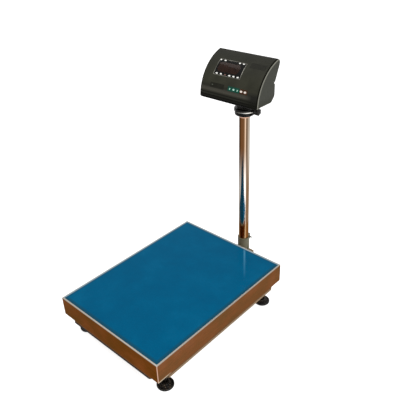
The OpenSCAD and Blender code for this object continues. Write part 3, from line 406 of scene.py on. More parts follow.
STAINLESS = rolled_stainless_sheet()
TUBE = drawn_stainless_tube()
ENAMEL = baked_blue_enamel()
ABS = moulded_charcoal_abs()
NYLON = glossy_black_nylon()
# the grey speckle on the pads' upper faces is a painted highlight
PAD_RUBBER = moulded_rubber("moulded_foot_rubber", "#6e5f4d", speckle_z=7.2 * MM)
ACRYLIC = tinted_acrylic()
SLOT_LOOKS = {
    "frame_paint": sprayed_frame_steel(),
    "zinc_steel": bare_metal("zinc_plated_steel", "#8f8d88", "#b4b2ab", 0.3),
    "cell_aluminium": bare_metal("milled_aluminium", "#b4b6b8", "#cfd1d3", 0.32, 1.5, (1, 0.05, 1)),
    "rubber": moulded_rubber("moulded_cushion_rubber", "#141414"),
    "foot_rubber": PAD_RUBBER,
    "socket_steel": sprayed_grey_steel(),
    "stainless": STAINLESS,
    "column_stainless": TUBE,
    "blue_enamel": ENAMEL,
    "black_nylon": NYLON,
    "charcoal_abs": ABS,
    "display_acrylic": ACRYLIC,
    "led_block": plastic_or_print("red_led_epoxy", "#2a1610", "#361c13", 0.4, gloss=0.1),
    "circuit_board": plastic_or_print("green_solder_mask", "#0e3a1e", "#164a28", 0.4, 9.0),
    "battery_case": plastic_or_print("grey_battery_case", "#3a3a3d", "#46464a", 0.5),
    "transformer_iron": bare_metal("varnished_core_iron", "#6d5a33", "#8a7443", 0.4, 2.0, (1, 1, 0.1)),
    "socket_nickel": bare_metal("nickel_plated_brass", "#b9b4aa", "#d0cbc1", 0.2),
    "black_plastic": plastic_or_print("moulded_black_plastic", "#0c0c0c", "#151514", 0.45),
    "rocker_red": plastic_or_print("moulded_red_rocker", "#5e0b0b", "#7a1210", 0.3),
    "key_green": plastic_or_print("moulded_green_key", "#0c4a3b", "#125a48", 0.45, gloss=0.1),
    "key_cream": plastic_or_print("moulded_brown_key", "#4a2c1c", "#5a3823", 0.45, gloss=0.1),
}
MINT_INK = plastic_or_print("printed_mint_ink", "#a5cdbd", "#bfe0d2", 0.5, gloss=0.2)
CREAM_INK = plastic_or_print("printed_cream_ink", "#e6dacd", "#efe6dc", 0.5, gloss=0.2)
GREEN_INK = plastic_or_print("printed_green_panel", "#0a3a2f", "#0e4638", 0.45, gloss=0.1)
BROWN_INK = plastic_or_print("printed_brown_panel", "#33200f", "#3f2717", 0.45, gloss=0.1)
BLACK_INK = plastic_or_print("printed_black_border", "#060605", "#0b0a09", 0.4, gloss=0.08)
WHITE_INK = plastic_or_print("printed_white_ink", "#ecece6", "#f6f6f0", 0.5, gloss=0.2)
FADED_INK = plastic_or_print("printed_faded_ink", "#6a4f48", "#7a5d54", 0.5, gloss=0.2)
BRIGHT_BAND = rim_band_painted_highlight()
SILVER_TRIM = bare_metal("hot_stamped_silver", "#5c5a53", "#a3a198", 0.35, 30.0)
BARE_PLATE = plastic_or_print("smooth_dark_plate", "#17170f", "#1e1e16", 0.4, 12.0, gloss=0.1)
DARK_STUD = bare_metal("blackened_stud_steel", "#1c1a17", "#2e2a25", 0.4, 4.0)
LED_SEGMENT = plastic_or_print("unlit_red_segment", "#5c3a2c", "#6a4433", 0.4, gloss=0.1)
PALE_LAMP = plastic_or_print("pale_indicator_lamp", "#464b43", "#565b52", 0.4, gloss=0.1)


# Mesh helpers

def linked(name, data):
    """New object of a mesh, light or camera, linked to the scene."""
    made = bpy.data.objects.new(name, data)
    bpy.context.scene.collection.objects.link(made)
    return made


def meshed(bm, name):
    """Bmesh as an object of its own."""
    mesh = bpy.data.meshes.new(name)
    bm.to_mesh(mesh)
    bm.free()
    return linked(name, mesh)


def piece(bm, name, body, material, stands_for=(), sharp=30, place=HEAD, flat=False):
    """Closes a bmesh in mm as a finished piece: welded, turned outwards, placed, shaded and riding.

    Edges stay sharp past the angle in degrees. The place is the head's unless another is given. A flat
    piece has its flat faces shaded even.
    """
    bmesh.ops.remove_doubles(bm, verts=bm.verts, dist=1e-6)
    bmesh.ops.recalc_face_normals(bm, faces=bm.faces)
    made = meshed(bm, name)
    made.data.transform(place)
    made.data.shade_smooth()
    made.data.set_sharp_from_angle(angle=math.radians(sharp))
    made.data.materials.append(material)
    if flat:
        even = made.modifiers.new("flat_faces", "WEIGHTED_NORMAL")
        even.keep_sharp = True
        even.weight = 100
    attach(made, body)
    if stands_for:
        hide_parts(*stands_for)
    return made


def eased(bm, edges, radius, segments, clamp=False):
    """Rounds edges with a radius in mm."""
    bmesh.ops.bevel(bm, geom=list(edges), offset=radius, segments=segments, profile=0.5, affect="EDGES",
                    material=-1, clamp_overlap=clamp)


def turned(profile, steps=96):
    """Ring turned about Z from an (r, z) outline in mm; the outline may start and end on the axis."""
    bm = bmesh.new()
    points = [bm.verts.new((r, 0, z)) for r, z in profile]
    edges = [bm.edges.new(pair) for pair in zip(points, points[1:])]
    if profile[0][0] > 0 and profile[-1][0] > 0:
        edges.append(bm.edges.new((points[-1], points[0])))
    bmesh.ops.spin(bm, geom=points + edges, cent=(0, 0, 0), axis=(0, 0, 1), angle=math.tau, steps=steps,
                   use_merge=True)
    bmesh.ops.remove_doubles(bm, verts=bm.verts, dist=1e-5)
    return bm


def arc(centre, radius, start, end, steps):
    """Points of an arc in an outline, angles in degrees."""
    turns = [math.radians(start + (end - start) * i / steps) for i in range(steps + 1)]
    return [(centre[0] + radius * math.cos(t), centre[1] + radius * math.sin(t)) for t in turns]


def block(bm, size, place, round_mm=0.0, segments=3):
    """Adds a block of the given size in mm with rounded edges, set by a matrix."""
    made = bmesh.ops.create_cube(bm, size=1.0, matrix=place @ Matrix.Diagonal((*size, 1)))["verts"]
    if round_mm:
        eased(bm, {e for v in made for e in v.link_edges}, round_mm, segments, True)


def tool_block(size, place):
    """Sharp block of its own, to work on or to carve another piece with."""
    bm = bmesh.new()
    block(bm, size, place)
    return bm


def as_large_as(node):
    """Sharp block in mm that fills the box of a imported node."""
    low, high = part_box(node)
    return tool_block((high - low) / MM, Matrix.Translation((low + high) / 2 / MM))


def upright(bm):
    """Edges that run up, not level."""
    return [e for e in bm.edges if abs(e.verts[0].co.z - e.verts[1].co.z) > 0.1]


def upper_faces(bm):
    """Level faces that look up."""
    return [f for f in bm.faces if f.normal.z > 0.9]


def rod(bm, place, radius, end_radius, length, segments):
    """Adds a round or tapered rod, capped at both ends, along Z of its matrix."""
    return bmesh.ops.create_cone(bm, cap_ends=True, segments=segments, radius1=radius, radius2=end_radius,
                                 depth=length, matrix=place)["verts"]


def extruded(bm, way):
    """Draws the faces of a bmesh out into a solid."""
    far = bmesh.ops.extrude_face_region(bm, geom=bm.faces[:])["geom"]
    bmesh.ops.translate(bm, verts=[g for g in far if isinstance(g, bmesh.types.BMVert)], vec=way)


def carved(solid, *tools, keep=False):
    """Solid with the tools' volumes cut away, or with only what lies inside them kept."""
    made = meshed(solid, "work")
    cutters = [meshed(tool, "tool") for tool in tools]
    for cutter in cutters:
        step = made.modifiers.new("carve", "BOOLEAN")
        step.operation = "INTERSECT" if keep else "DIFFERENCE"
        step.solver = "EXACT"
        step.object = cutter
    bm = bmesh.new()
    bm.from_object(made, bpy.context.evaluated_depsgraph_get())
    for used in (made, *cutters):
        bpy.data.meshes.remove(used.data)                   # its object goes with it
    return bm


def on_column(z):
    """Place of a piece drawn about the column's axis, at a height in metres."""
    return Matrix.Translation((0, COLUMN_Y, z)) @ METRES


# Platter

def platter_pan():
    """Folded tray: bent edges, rolled lower hem, tight corners."""
    bend_r, hem_r, sheet = 3.0, 2.2, 1.5
    bm = as_large_as("platter_pan")
    eased(bm, upright(bm) + list(upper_faces(bm)[0].edges), bend_r, 5)
    under = [f for f in bm.faces if f.normal.z < -0.9]
    eased(bm, under[0].edges, hem_r, 4)
    bmesh.ops.delete(bm, geom=[f for f in bm.faces if f.normal.z < -0.95], context="FACES")
    bmesh.ops.recalc_face_normals(bm, faces=bm.faces)
    bmesh.ops.solidify(bm, geom=bm.faces[:], thickness=sheet)
    piece(bm, "platter_pan_sheet", "platter", STAINLESS, ["platter_pan"], 40, METRES, True)


def platter_cover():
    """Thin enamelled sheet with eased edges and the slight waves of a large flat sheet."""
    corner_r, edge_r, border = 3.0, 0.35, 12.0              # the border stays flat
    strips, wave_h, wave_x, wave_y = 24, 0.09, 0.043, 0.031  # waves in mm and in radians per mm
    low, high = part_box("platter_cover")
    middle, half = (low + high) / 2 / MM, (high - low) / 2 / MM
    bm = as_large_as("platter_cover")
    eased(bm, upright(bm), corner_r, 5)
    eased(bm, upper_faces(bm)[0].edges, edge_r, 2)
    for axis in (0, 1):
        normal = Vector((1 - axis, axis, 0))
        for i in range(1, strips):
            point = normal * (middle[axis] - half[axis] + 2 * half[axis] * i / strips)
            top = upper_faces(bm)
            geom = top + list({e for f in top for e in f.edges}) + list({v for f in top for v in f.verts})
            bmesh.ops.bisect_plane(bm, geom=geom, dist=1e-4, plane_co=point, plane_no=normal)
    for v in bm.verts:
        inside = all(abs(v.co[i] - middle[i]) < half[i] - border for i in (0, 1))
        if inside and v.co.z > high.z / MM - 0.01:
            v.co.z -= wave_h * (1 + math.sin(v.co.x * wave_x + 1.1) * math.sin(v.co.y * wave_y + 0.4))
    piece(bm, "platter_cover_sheet", "platter", ENAMEL, ["platter_cover"], 40, METRES, True)


# Feet

def foot_pad(corner):
    """Ribbed round pad with a raised hub."""
    ribs, rib_size, rib_r, rib_z, rib_slope = 12, (9.0, 2.6, 3.0), 17.0, 8.0, 14
    node = "foot_pad_" + corner
    low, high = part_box(node)
    r, top = (high.x - low.x) / 2 / MM, (high.z - low.z) / MM
    profile = ([(0, 0), (r - 3, 0), (r - 2.2, 0.8)] + arc((r - 2, 2.8), 2.0, -70, 0, 4)
               + arc((r - 3.2, 5.2), 3.2, 0, 80, 5) + [(r - 5.5, 7.6), (r - 7, 6.9), (13.5, 9.6)]
               + arc((12.5, 13.2), 1.8, -60, 60, 4) + [(9.5, top), (0, top)])
    bm = turned(profile, 72)
    for i in range(ribs):
        lay = Matrix.Rotation(math.tau * i / ribs, 4, "Z") @ Matrix.Translation((rib_r, 0, rib_z))
        block(bm, rib_size, lay @ Matrix.Rotation(math.radians(rib_slope), 4, "Y"), 0.8, 2)
    place = Matrix.Translation(((low.x + high.x) / 2, (low.y + high.y) / 2, low.z)) @ METRES
    piece(bm, node + "_ribbed", "foot_" + corner, PAD_RUBBER, [node], 40, place)


# Column and column head

TUBE_R, TUBE_WALL = 19.0, 1.5
SPIGOT_R, WIRE_R = 16.0, 8.0                # what the collar turns on, and the way for the lead


def column_tube():
    """Polished tube with eased ends."""
    ease, inner = 0.4, TUBE_R - TUBE_WALL
    z0, z1 = (end.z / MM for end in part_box("column_tube"))
    bm = turned([(inner, z0), (TUBE_R - ease, z0), (TUBE_R, z0 + ease), (TUBE_R, z1 - ease),
                 (TUBE_R - ease, z1), (inner, z1)], 128)
    piece(bm, "column_polished_tube", "column", TUBE, ["column_tube"], 30, on_column(0))


def column_cap():
    """Bowl that closes the tube, with a stepped rim and the spigot the collar turns on."""
    top = (COLLAR_Z - CAP_Z) / MM
    neck, rim, lip, seat, bore = 21.5, 34.5, 0.4, top - 7.0, TUBE_R + 0.05
    bowl = [(neck + (rim - neck) * math.sin(t), lip + (seat - lip) * (1 - math.cos(t)))
            for t in [math.radians(6 * i) for i in range(1, 16)]]
    profile = ([(bore, 0.0), (neck - 0.6, 0.0), (neck, lip)] + bowl
               + [(rim, top - 5.6), (rim - 0.3, top - 5.2), (rim - 0.9, top - 2.0), (rim - 1.5, top - 1.6)]
               + arc((rim - 2.2, top - 0.6), 0.6, 10, 90, 4)
               + [(SPIGOT_R, top), (SPIGOT_R, top + 11.5), (SPIGOT_R - 0.5, top + 12.0), (WIRE_R, top + 12.0),
                  (WIRE_R, seat), (bore, seat)])
    piece(turned(profile), "column_bowl_cap", "column", NYLON, ["column_cap"], 38,
          on_column(CAP_Z))


def swivel_collar():
    """Turning collar with a bright foot ring, a grooved rim, the screw boss and the lug of the tilt joint."""
    bore, rim, boss_z = SPIGOT_R + 0.08, 36.5, 7.0
    bm = turned([(bore, 0.3), (33.0, 0.3)] + arc((33.5, 3.3), 3.0, -90, 0, 5)
                + [(rim, 5.2), (rim - 0.9, 6.0), (rim - 0.9, 7.0), (rim, 7.8)]
                + arc((32.5, 10.0), 4.0, 0, 85, 6) + [(30.4, 14.2), (29.2, 14.6), (28.8, 17.2)]
                + arc((27.8, 17.0), 1.0, 12, 90, 3) + [(WIRE_R, 18.0), (WIRE_R, 13.0), (bore, 13.0)])
    boss = rod(bm, Matrix.Translation((34.0, 0, boss_z)) @ SIDEWAYS, 6.6, 5.6, 9.0, 40)
    outer_rim = [e for e in {e for v in boss for e in v.link_edges} if all(v.co.x > 38 for v in e.verts)]
    eased(bm, outer_rim, 0.8, 3)
    lug_y, lug_z, lug_r, lug_w, lug_foot = -16.0, 32.0, 11.0, 24.0, 16.5
    for v in rod(bm, Matrix.Translation((0, lug_y, lug_z)) @ SIDEWAYS, lug_r, lug_r, lug_w, 64):
        away = v.co.y - lug_y
        if v.co.z < lug_z - 0.01:                           # the lower half goes straight down to the ring
            v.co.y = lug_y + math.copysign(lug_r, away) if abs(away) > 0.5 else v.co.y
            v.co.z = lug_foot
    made = piece(bm, "swivel_collar_ring", "swivel", NYLON, ["swivel_collar"], 38,
                 on_column(COLLAR_Z))
    # the foot ring's band carries a painted highlight at its front
    made.data.materials.append(BRIGHT_BAND)
    for face in made.data.polygons:
        spot = (face.center - Vector((0, COLUMN_Y, COLLAR_Z))) / MM
        if 1.4 < spot.z < 5.2 and 33.8 < math.hypot(spot.x, spot.y) < rim + 0.1:
            face.material_index = 1


def swivel_knob():
    """Lobed hand knob on a tapered hub."""
    radius, lobes, dip, hub = 12.5, 6, 0.16, 5.0
    grip = (KNOB_HIGH.x - KNOB_LOW.x) / MM - hub
    bm = bmesh.new()
    for v in bmesh.ops.create_circle(bm, cap_ends=True, segments=72, radius=radius)["verts"]:
        turn = math.atan2(v.co.y, v.co.x)
        v.co *= 1 - dip * (0.5 - 0.5 * math.cos(lobes * turn)) ** 1.6
    extruded(bm, (0, 0, grip))
    eased(bm, [e for e in bm.edges if abs(e.verts[0].co.z - e.verts[1].co.z) < 1e-6], 1.6, 4)
    rod(bm, Matrix.Translation((0, 0, 0.3 - hub / 2)), 5.0, 8.6, hub + 0.6, 48)
    rod(bm, Matrix.Translation((0, 0, grip + 0.3)), 7.4, 6.6, 1.2, 48)
    place = Matrix.Translation((KNOB_LOW.x + hub * MM, COLUMN_Y, KNOB_Z)) @ METRES @ SIDEWAYS
    piece(bm, "swivel_knob_lobed", "knob", NYLON, ["swivel_knob"], 38, place)


# Indicator head: y runs back from its lower front edge, z up from it, angles up the face

WINDOW_X, WINDOW_A = (-75.0, 31.0), (33.41, 54.99)
KEY_X, KEY_A = (5.1, 20.3, 35.5, 50.7, 65.9), 19.2
KEY_W, KEY_H, KEY_GAP = 11.5, 8.5, 0.4
GREEN_KEYS = 3                              # the first three are green, the others brown
LIP_D, SPLIT_Z, CHEEK_IN = 12.0, 121.0, 116.0
GROOVES = (3.2, 6.4, 9.6)
BACK_LOW = [(13.0, 0.0), (17.0, 8.0), (74.0, 8.0), (92.0, 27.0), (92.0, 64.5), (87.0, 69.0), (93.0, 73.5)]
BACK_ROUND = (2.0, 2.0, 14.0, 14.0)         # radii of its first four corners
WALL, LIP_R, HEAD_TOP_D = 3.0, 10.0, 122.0
FACE_EDGE, SMALL_EDGE = 7.0, 1.3            # edge radii of the face and of the rest
LOW_CORNER, TOP_CORNER, BACK_CORNER = 14.0, 4.0, 14.0
BACK_SLOPE = (HEAD_TOP_D - BACK_LOW[-1][0]) / (HEAD_H - BACK_LOW[-1][1])
PAST_BACK, PAST_FOOT = 140.0, -20.0         # where the tools that open the head end
SOCKET_Z = 45.75
BACK_HOLES = ((-60.0, 16.2, 16.2), (62.0, 27.4, 19.4), (18.0, 14.4, 21.4))     # x, width, height


def on_face(x, angle, lift=0.0):
    """Matrix of a place on the head's curved face: +X along the face, +Y into it, +Z up along it."""
    a = math.radians(angle)
    out = FACE_R + lift
    spot = Vector((x, FACE_R - out * math.cos(a), out * math.sin(a)))
    return Matrix.Translation(spot) @ Matrix.Rotation(-a, 4, "X")


def face_block(x0, x1, a0, a1, deep, proud):
    """Curved block on the head's face from x0 to x1 and a0 to a1 degrees, deep mm in and proud mm out."""
    bm = bmesh.new()
    size = Matrix.Diagonal((x1 - x0, deep + proud, 1, 1))
    rest = Matrix.Translation(((x0 + x1) / 2, (deep - proud) / 2, 0)) @ size
    start = Matrix.Translation((0, FACE_R, 0)) @ Matrix.Rotation(math.radians(-a0), 4, "X")
    bmesh.ops.create_grid(bm, x_segments=1, y_segments=1, size=0.5,
                          matrix=start @ Matrix.Translation((0, -FACE_R, 0)) @ rest)
    bmesh.ops.spin(bm, geom=bm.verts[:] + bm.edges[:] + bm.faces[:], cent=(0, FACE_R, 0), axis=(-1, 0, 0),
                   angle=math.radians(a1 - a0), steps=12)
    bmesh.ops.holes_fill(bm, edges=[e for e in bm.edges if e.is_boundary])
    bmesh.ops.recalc_face_normals(bm, faces=bm.faces)
    return bm


def window_block(more_x, more_a, deep, proud):
    """Face block over the window, larger by more_x mm at its sides and more_a degrees above and below."""
    (x0, x1), (a0, a1) = WINDOW_X, WINDOW_A
    return face_block(x0 - more_x, x1 + more_x, a0 - more_a, a1 + more_a, deep, proud)


def key_hole(x):
    """Tool for the hole of a key."""
    return tool_block((KEY_W + KEY_GAP, 14.0, KEY_H + KEY_GAP), on_face(x, KEY_A))


def side_face(outline, width):
    """Flat (y, z) outline as a face at the left end of a width."""
    bm = bmesh.new()
    bm.faces.new([bm.verts.new((-width / 2, y, z)) for y, z in outline])
    return bm


def spread(bm, width):
    """Solid of a side face, drawn out to the full width and turned outwards."""
    extruded(bm, (width, 0, 0))
    bmesh.ops.recalc_face_normals(bm, faces=bm.faces)
    return bm


def fillet(corner, before, after, radius, steps=6):
    """Points that round a corner of a flat outline between its two neighbours."""
    p = Vector(corner)
    u, v = (Vector(before) - p).normalized(), (Vector(after) - p).normalized()
    half = u.angle(v) / 2
    centre = p + (u + v).normalized() * radius / math.sin(half)
    first, last = (p + w * radius / math.tan(half) - centre for w in (u, v))
    sweep = -first.angle_signed(last)
    return [centre + Matrix.Rotation(sweep * i / steps, 2) @ first for i in range(steps + 1)]


def crown(radius, low, back_point, top, rounding):
    """Points up the face and over the rounded top to the back of the head, or to the inside of its walls."""
    high = math.degrees(math.asin(top / radius))
    face = arc((FACE_R, 0), radius, 180 - low, 180 - high, 60)
    over = fillet((back_point, top), (0, top), (back_point - BACK_SLOPE, top - 1.0), rounding, 10)
    centre = Vector((over[0].x, top - rounding))
    return ([p for p in face if p[0] < centre.x or (Vector(p) - centre).length < rounding]
            + [p for p in over if (p - Vector((FACE_R, 0))).length < radius])


def head_prism(width, inset=0.0):
    """Closed head: its side outline spread over the width, or the room inside it at a wall's distance."""
    lip_y = FACE_R - math.sqrt((FACE_R - LIP_R) ** 2 - LIP_R ** 2)
    lip_turn = math.degrees(math.asin(LIP_R / (FACE_R - LIP_R)))
    outline = arc((lip_y, LIP_R), LIP_R, -90, -180 - lip_turn, 6)
    outline += crown(FACE_R, lip_turn, HEAD_TOP_D, HEAD_H, BACK_CORNER)[1:] + BACK_LOW[:3:-1]
    for i, radius in reversed(list(enumerate(BACK_ROUND))):
        around = BACK_LOW[i + 1], BACK_LOW[i - 1] if i else (0, 0)
        outline += fillet(BACK_LOW[i], *around, radius) if radius > inset else [BACK_LOW[i]]
    bm = side_face(outline, width)
    if inset:
        bm.normal_update()
        ring = bmesh.ops.inset_region(bm, faces=bm.faces[:], thickness=inset, use_even_offset=True,
                                      use_boundary=True)["faces"]
        bmesh.ops.delete(bm, geom=ring, context="FACES")
    return spread(bm, width)


def face_rim():
    """Drum turned about the axis of the face with rounded ends: it rounds the rim of the face."""
    r, end, inner = FACE_R + 0.03, HEAD_W / 2 + 0.02, 30.0  # a hair larger, so that no two faces coincide
    drum = turned([(inner, -end)] + arc((r - FACE_EDGE, FACE_EDGE - end), FACE_EDGE, -90, 0, 8)
                  + arc((r - FACE_EDGE, end - FACE_EDGE), FACE_EDGE, 0, 90, 8) + [(inner, end)], 288)
    bmesh.ops.transform(drum, verts=drum.verts, matrix=Matrix.Translation((0, FACE_R, 0)) @ SIDEWAYS)
    bmesh.ops.recalc_face_normals(drum, faces=drum.faces)
    return drum


def corner_block():
    """Block as large as the head with its four corners rounded, as seen from the front."""
    bm = tool_block((HEAD_W + 0.08, 400.0, HEAD_H + 0.04), Matrix.Translation((0, 60.0, HEAD_H / 2)))
    for radius, z in ((LOW_CORNER, 0.0), (TOP_CORNER, HEAD_H)):
        eased(bm, [e for e in bm.edges if all(abs(v.co.z - z) < 0.1 for v in e.verts)
                   and abs(e.verts[0].co.y - e.verts[1].co.y) > 1], radius, 8)
    return bm


def rear_room(width, gap):
    """Space behind the face wall that the rear cover closes, smaller by the joint gap."""
    inner, lip, top = FACE_R - 2 * WALL - gap, LIP_D + gap, SPLIT_Z - gap
    low, high = math.degrees(math.acos((FACE_R - lip) / inner)), math.degrees(math.asin(top / inner))
    outline = arc((FACE_R, 0), inner, 180 - low, 180 - high, 30)
    outline += [(PAST_BACK, top), (PAST_BACK, PAST_FOOT), (lip, PAST_FOOT)]
    return spread(side_face(outline, width), width)


def housing_room():
    """Space inside the front housing, open at the back below the split and behind the lip."""
    inner, top = FACE_R - WALL, HEAD_H - WALL
    low = math.degrees(math.asin(WALL / inner))
    back = [HEAD_TOP_D + BACK_SLOPE * (z - HEAD_H) - WALL * math.hypot(1, BACK_SLOPE) for z in (top, SPLIT_Z)]
    outline = crown(inner, low, back[0], top, BACK_CORNER - WALL) + [(back[1], SPLIT_Z)]
    outline += [(PAST_BACK, SPLIT_Z), (PAST_BACK, PAST_FOOT), (LIP_D, PAST_FOOT), (LIP_D, WALL)]
    return spread(side_face(outline, 2 * CHEEK_IN), 2 * CHEEK_IN)


def front_housing():
    """Moulded front: curved face with rounded edges, cheeks, top, grooved lip, window and key holes."""
    outer = head_prism(HEAD_W)
    middles = {e: (e.verts[0].co + e.verts[1].co) / 2 for e in outer.edges}
    back = [e for e, m in middles.items() if abs(m.x) > HEAD_W / 2 - 0.1
            and math.hypot(m.y - FACE_R, m.z) < FACE_R - FACE_EDGE - 1.5]
    eased(outer, back, SMALL_EDGE, 3)
    holes = [window_block(0, 0, 8.0, 6.0)] + [key_hole(x) for x in KEY_X]
    holes += [tool_block((HEAD_W - 12.0, 1.8, 1.4), on_face(0.0, a)) for a in GROOVES]
    bm = carved(carved(outer, housing_room(), *holes), face_rim(), corner_block(), keep=True)
    piece(bm, "front_housing_shell", "head", ABS, ["front_housing"], 28, flat=True)


def rear_cover():
    """Back and underside between the cheeks, with the openings for sockets and switch."""
    width, gap = 2 * CHEEK_IN - 0.5, 0.25
    holes = [tool_block((w, 20.0, h), Matrix.Translation((x, BACK_LOW[3][0], SOCKET_Z)))
             for x, w, h in BACK_HOLES]
    bm = carved(head_prism(width), rear_room(width + 2, gap), corner_block(), keep=True)
    bm = carved(bm, head_prism(width + 4, WALL), *holes)
    piece(bm, "rear_cover_shell", "head", ABS, ["rear_cover"], 28, flat=True)


def display_window():
    """Curved filter in the face, and the thin silver line stamped round it."""
    filter_block = window_block(-0.15, -0.06, 2.4, -0.4)
    piece(filter_block, "display_filter", "head", ACRYLIC, ["display_window"])
    side_w, level_w = 1.3, 0.9                              # widths of the line
    outer = window_block(side_w, math.degrees(level_w / FACE_R), 0.25, 0.25)
    piece(carved(outer, window_block(0, 0, 2.0, 2.0)), "window_silver_line", "head", SILVER_TRIM)


def dot(bm, width, height, place):
    """Adds a flat oval mark, its broad side along the face."""
    rod(bm, place @ Matrix.Diagonal((width, 1, height, 1)) @ INWARDS, 0.5, 0.5, 0.3, 32)


def window_marks():
    """Black printed border of the window, with white ovals along its top and bottom and a faint one."""
    room = bmesh.new()
    block(room, (86.0, 40.0, 34.0), on_face(-26.0, 44.6), 12.0, 6)
    piece(carved(window_block(-0.2, -0.1, 0.35, -0.1), room), "window_printed_border", "head", BLACK_INK)
    upper, lower = 53.9, 35.0
    ovals, faint = bmesh.new(), bmesh.new()
    for x in (-72.0, -54.0, 5.0, 20.5):
        dot(ovals, 8.0, 4.6, on_face(x, upper, -0.1))
    for x in (-64.0, -46.3, -11.7, 5.0, 22.0):
        dot(ovals, 9.0, 4.8, on_face(x, lower, -0.1))
    dot(faint, 7.0, 4.0, on_face(-29.4, lower, -0.1))
    piece(ovals, "window_printed_ovals", "head", WHITE_INK)
    piece(faint, "window_printed_faint_oval", "head", FADED_INK)


def led_display():
    """Six-digit display block with seven bars and a point to each digit."""
    digits, pitch, slant = 6, 15.0, 0.12
    long, thin, half, high = 6.6, 1.5, 4.2, 8.4             # bars, and how far they stand from the middle
    middle = on_face(sum(WINDOW_X) / 2, sum(WINDOW_A) / 2)
    bm, bars = bmesh.new(), bmesh.new()
    block(bm, (92.0, 6.8, 28.0), middle @ Matrix.Translation((0, 9.6, 0)), 0.6, 2)
    piece(bm, "led_display_block", "head", SLOT_LOOKS["led_block"], ["led_display"])
    digit = ([(0, z, long, thin) for z in (high, 0, -high)]
             + [(x, z, thin, long) for z in (half, -half) for x in (-half, half)]
             + [(6.4, -high, thin, thin)])
    for d in range(digits):
        for x, z, w, h in digit:
            across = pitch * (d - (digits - 1) / 2) + x + slant * z
            block(bars, (w, 0.4, h), middle @ Matrix.Translation((across, 6.1, z)), 0.12, 1)
    piece(bars, "led_display_digits", "head", LED_SEGMENT)


def bare_plates():
    """Two smooth bare panels on the face, and the small lamp beside the lower one."""
    for name, place in (("face_upper_plate", (47.0, 105.0, 50.5, 58.0)),
                        ("face_lower_plate", (-77.0, -20.0, 16.6, 22.8))):
        piece(face_block(*place, 0.25, 0.15), name, "head", BARE_PLATE)
    bead = bmesh.new()
    bmesh.ops.create_uvsphere(bead, u_segments=24, v_segments=12, radius=2.2,
                              matrix=on_face(-68.0, 19.8, 0.1) @ Matrix.Diagonal((1.0, 0.45, 1.0, 1)))
    piece(bead, "face_lamp", "head", PALE_LAMP, sharp=40)


def key_panel():
    """Printed panel round the keys, green beside three of them and brown beside two."""
    left, seam, right = -3.5, 43.1, 74.5
    for name, x0, x1, ink in (("key_green_panel", left, seam, GREEN_INK),
                              ("key_brown_panel", seam, right, BROWN_INK)):
        holes = [key_hole(x) for x in KEY_X if x0 < x < x1]
        bm = carved(face_block(x0, x1, KEY_A - 2.6, KEY_A + 3.4, 0.25, 0.12), *holes)
        piece(bm, name, "head", ink)


def keys():
    """Five soft keys, each a rounded cap, a flange behind the face and a stem, with a printed mark."""
    for i, x in enumerate(KEY_X, 1):
        node, green, place = "key_%d" % i, i <= GREEN_KEYS, on_face(x, KEY_A)
        bm, mark = bmesh.new(), bmesh.new()
        block(bm, (KEY_W, 4.6, KEY_H), place @ Matrix.Translation((0, 1.3, 0)), 1.1, 4)
        block(bm, (KEY_W + 2, 1.5, KEY_H + 2), place @ Matrix.Translation((0, 4.25, 0)), 0.3, 2)
        rod(bm, place @ Matrix.Translation((0, 5.3, 0)) @ INWARDS, 2.0, 2.0, 1.4, 24)
        slot = "key_green" if green else "key_cream"        # the slot keeps its name, the look is brown
        piece(bm, node + "_cap", node, SLOT_LOOKS[slot], [node], 40, flat=True)
        top = place @ Matrix.Translation((0, -1.05, 1.0))
        if i in (1, 3):
            block(mark, (3.6, 0.3, 5.4), top @ Matrix.Rotation(math.radians(30), 4, "Y"), 0.1, 1)
        else:
            dot(mark, *((8.0, 6.0) if i == 2 else (9.6, 6.4)), top)
        piece(mark, node + "_printed_mark", node, MINT_INK if green else CREAM_INK)


# Assembly

platter_pan()
platter_cover()
for corner in ("front_left", "front_right", "rear_left", "rear_right"):
    foot_pad(corner)
column_tube()
column_cap()
swivel_collar()
swivel_knob()
front_housing()
rear_cover()
display_window()
window_marks()
led_display()
bare_plates()
key_panel()
keys()

# The CAD pieces that stay take the look of their material slot
slot_of = {row["node"]: row["material_slot"] for row in frame["record"]["subparts"]}
for node, made in nodes.items():
    made.data.materials.clear()
    made.data.materials.append(DARK_STUD if node.startswith("foot_stud") else SLOT_LOOKS[slot_of[node]])


# Studio

def seen(tree):
    """1 for what the camera sees, by itself, in a mirror or through a window, and 0 for plain light."""
    camera, glossy, through = (put(tree, "LightPath", {}, "Is %s Ray" % kind)
                               for kind in ("Camera", "Glossy", "Transmission"))
    either = put(tree, "Math", {0: camera, 1: glossy}, operation="MAXIMUM")
    return put(tree, "Math", {0: either, 1: through}, operation="MAXIMUM")


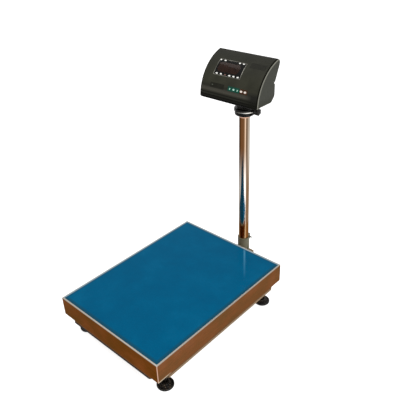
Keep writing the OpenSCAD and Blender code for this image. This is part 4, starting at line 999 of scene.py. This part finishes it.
def white_floor():
    """Pale floor that reads as white to the eye and keeps the object's soft shadow."""
    bm = bmesh.new()
    bmesh.ops.create_grid(bm, x_segments=1, y_segments=1, size=14.0)
    bmesh.ops.translate(bm, verts=bm.verts, vec=(0, 0, -0.0003))
    floor = meshed(bm, "studio_floor")
    look, tree, _ = finish("matte_white_paper")
    tree.nodes.clear()
    glow, more_to_camera = 0.5, 0.24
    camera = put(tree, "LightPath", {}, "Is Camera Ray")
    lift = put(tree, "Math", {0: camera, 1: more_to_camera}, operation="MULTIPLY")
    lift = put(tree, "Math", {0: seen(tree), 1: glow, 2: lift}, operation="MULTIPLY_ADD")
    both = put(tree, "AddShader", {0: put(tree, "BsdfDiffuse", {"Color": "#f2f2f2"}),
                                   1: put(tree, "Emission", {"Color": "#ffffff", "Strength": lift})})
    put(tree, "OutputMaterial", {"Surface": both})
    floor.data.materials.append(look)


def soft_world():
    """White surround for the eye and for reflections, a softer fill for everything else."""
    world = bpy.data.worlds.new("white_studio")
    bpy.context.scene.world = world
    world.use_nodes = True
    tree = world.node_tree
    tree.nodes.clear()
    level = put(tree, "MapRange", {"Value": seen(tree), "To Min": 0.55, "To Max": 1.0})
    put(tree, "OutputWorld", {"Surface": put(tree, "Background", {"Color": "#ffffff", "Strength": level})})


def soft_box(name, place, size, watts, target=(0.0, 0.0, 0.3)):
    """Square soft box aimed at a point."""
    data = bpy.data.lights.new(name, "AREA")
    data.size = size
    data.energy = watts
    made = linked(name, data)
    made.location = place
    made.rotation_euler = (Vector(target) - Vector(place)).to_track_quat("-Z", "Y").to_euler()


def photo_camera():
    """Camera at the photograph's viewing angle."""
    data = bpy.data.cameras.new("photo_camera")
    data.sensor_width = 36.0
    data.lens = 47.08
    data.clip_end = 100.0
    made = linked("photo_camera", data)
    made.location = (1.02283, -1.00305, 1.27772)
    made.rotation_euler = [math.radians(a) for a in (59.5449, 1.9731, 42.1029)]
    bpy.context.scene.camera = made


white_floor()
soft_world()
soft_box("key_soft_box", (2.4, -0.7, 2.3), 1.6, 48)
soft_box("top_soft_box", (-0.6, -0.4, 3.2), 2.0, 22)
photo_camera()
bpy.context.scene.view_settings.view_transform = "Standard"
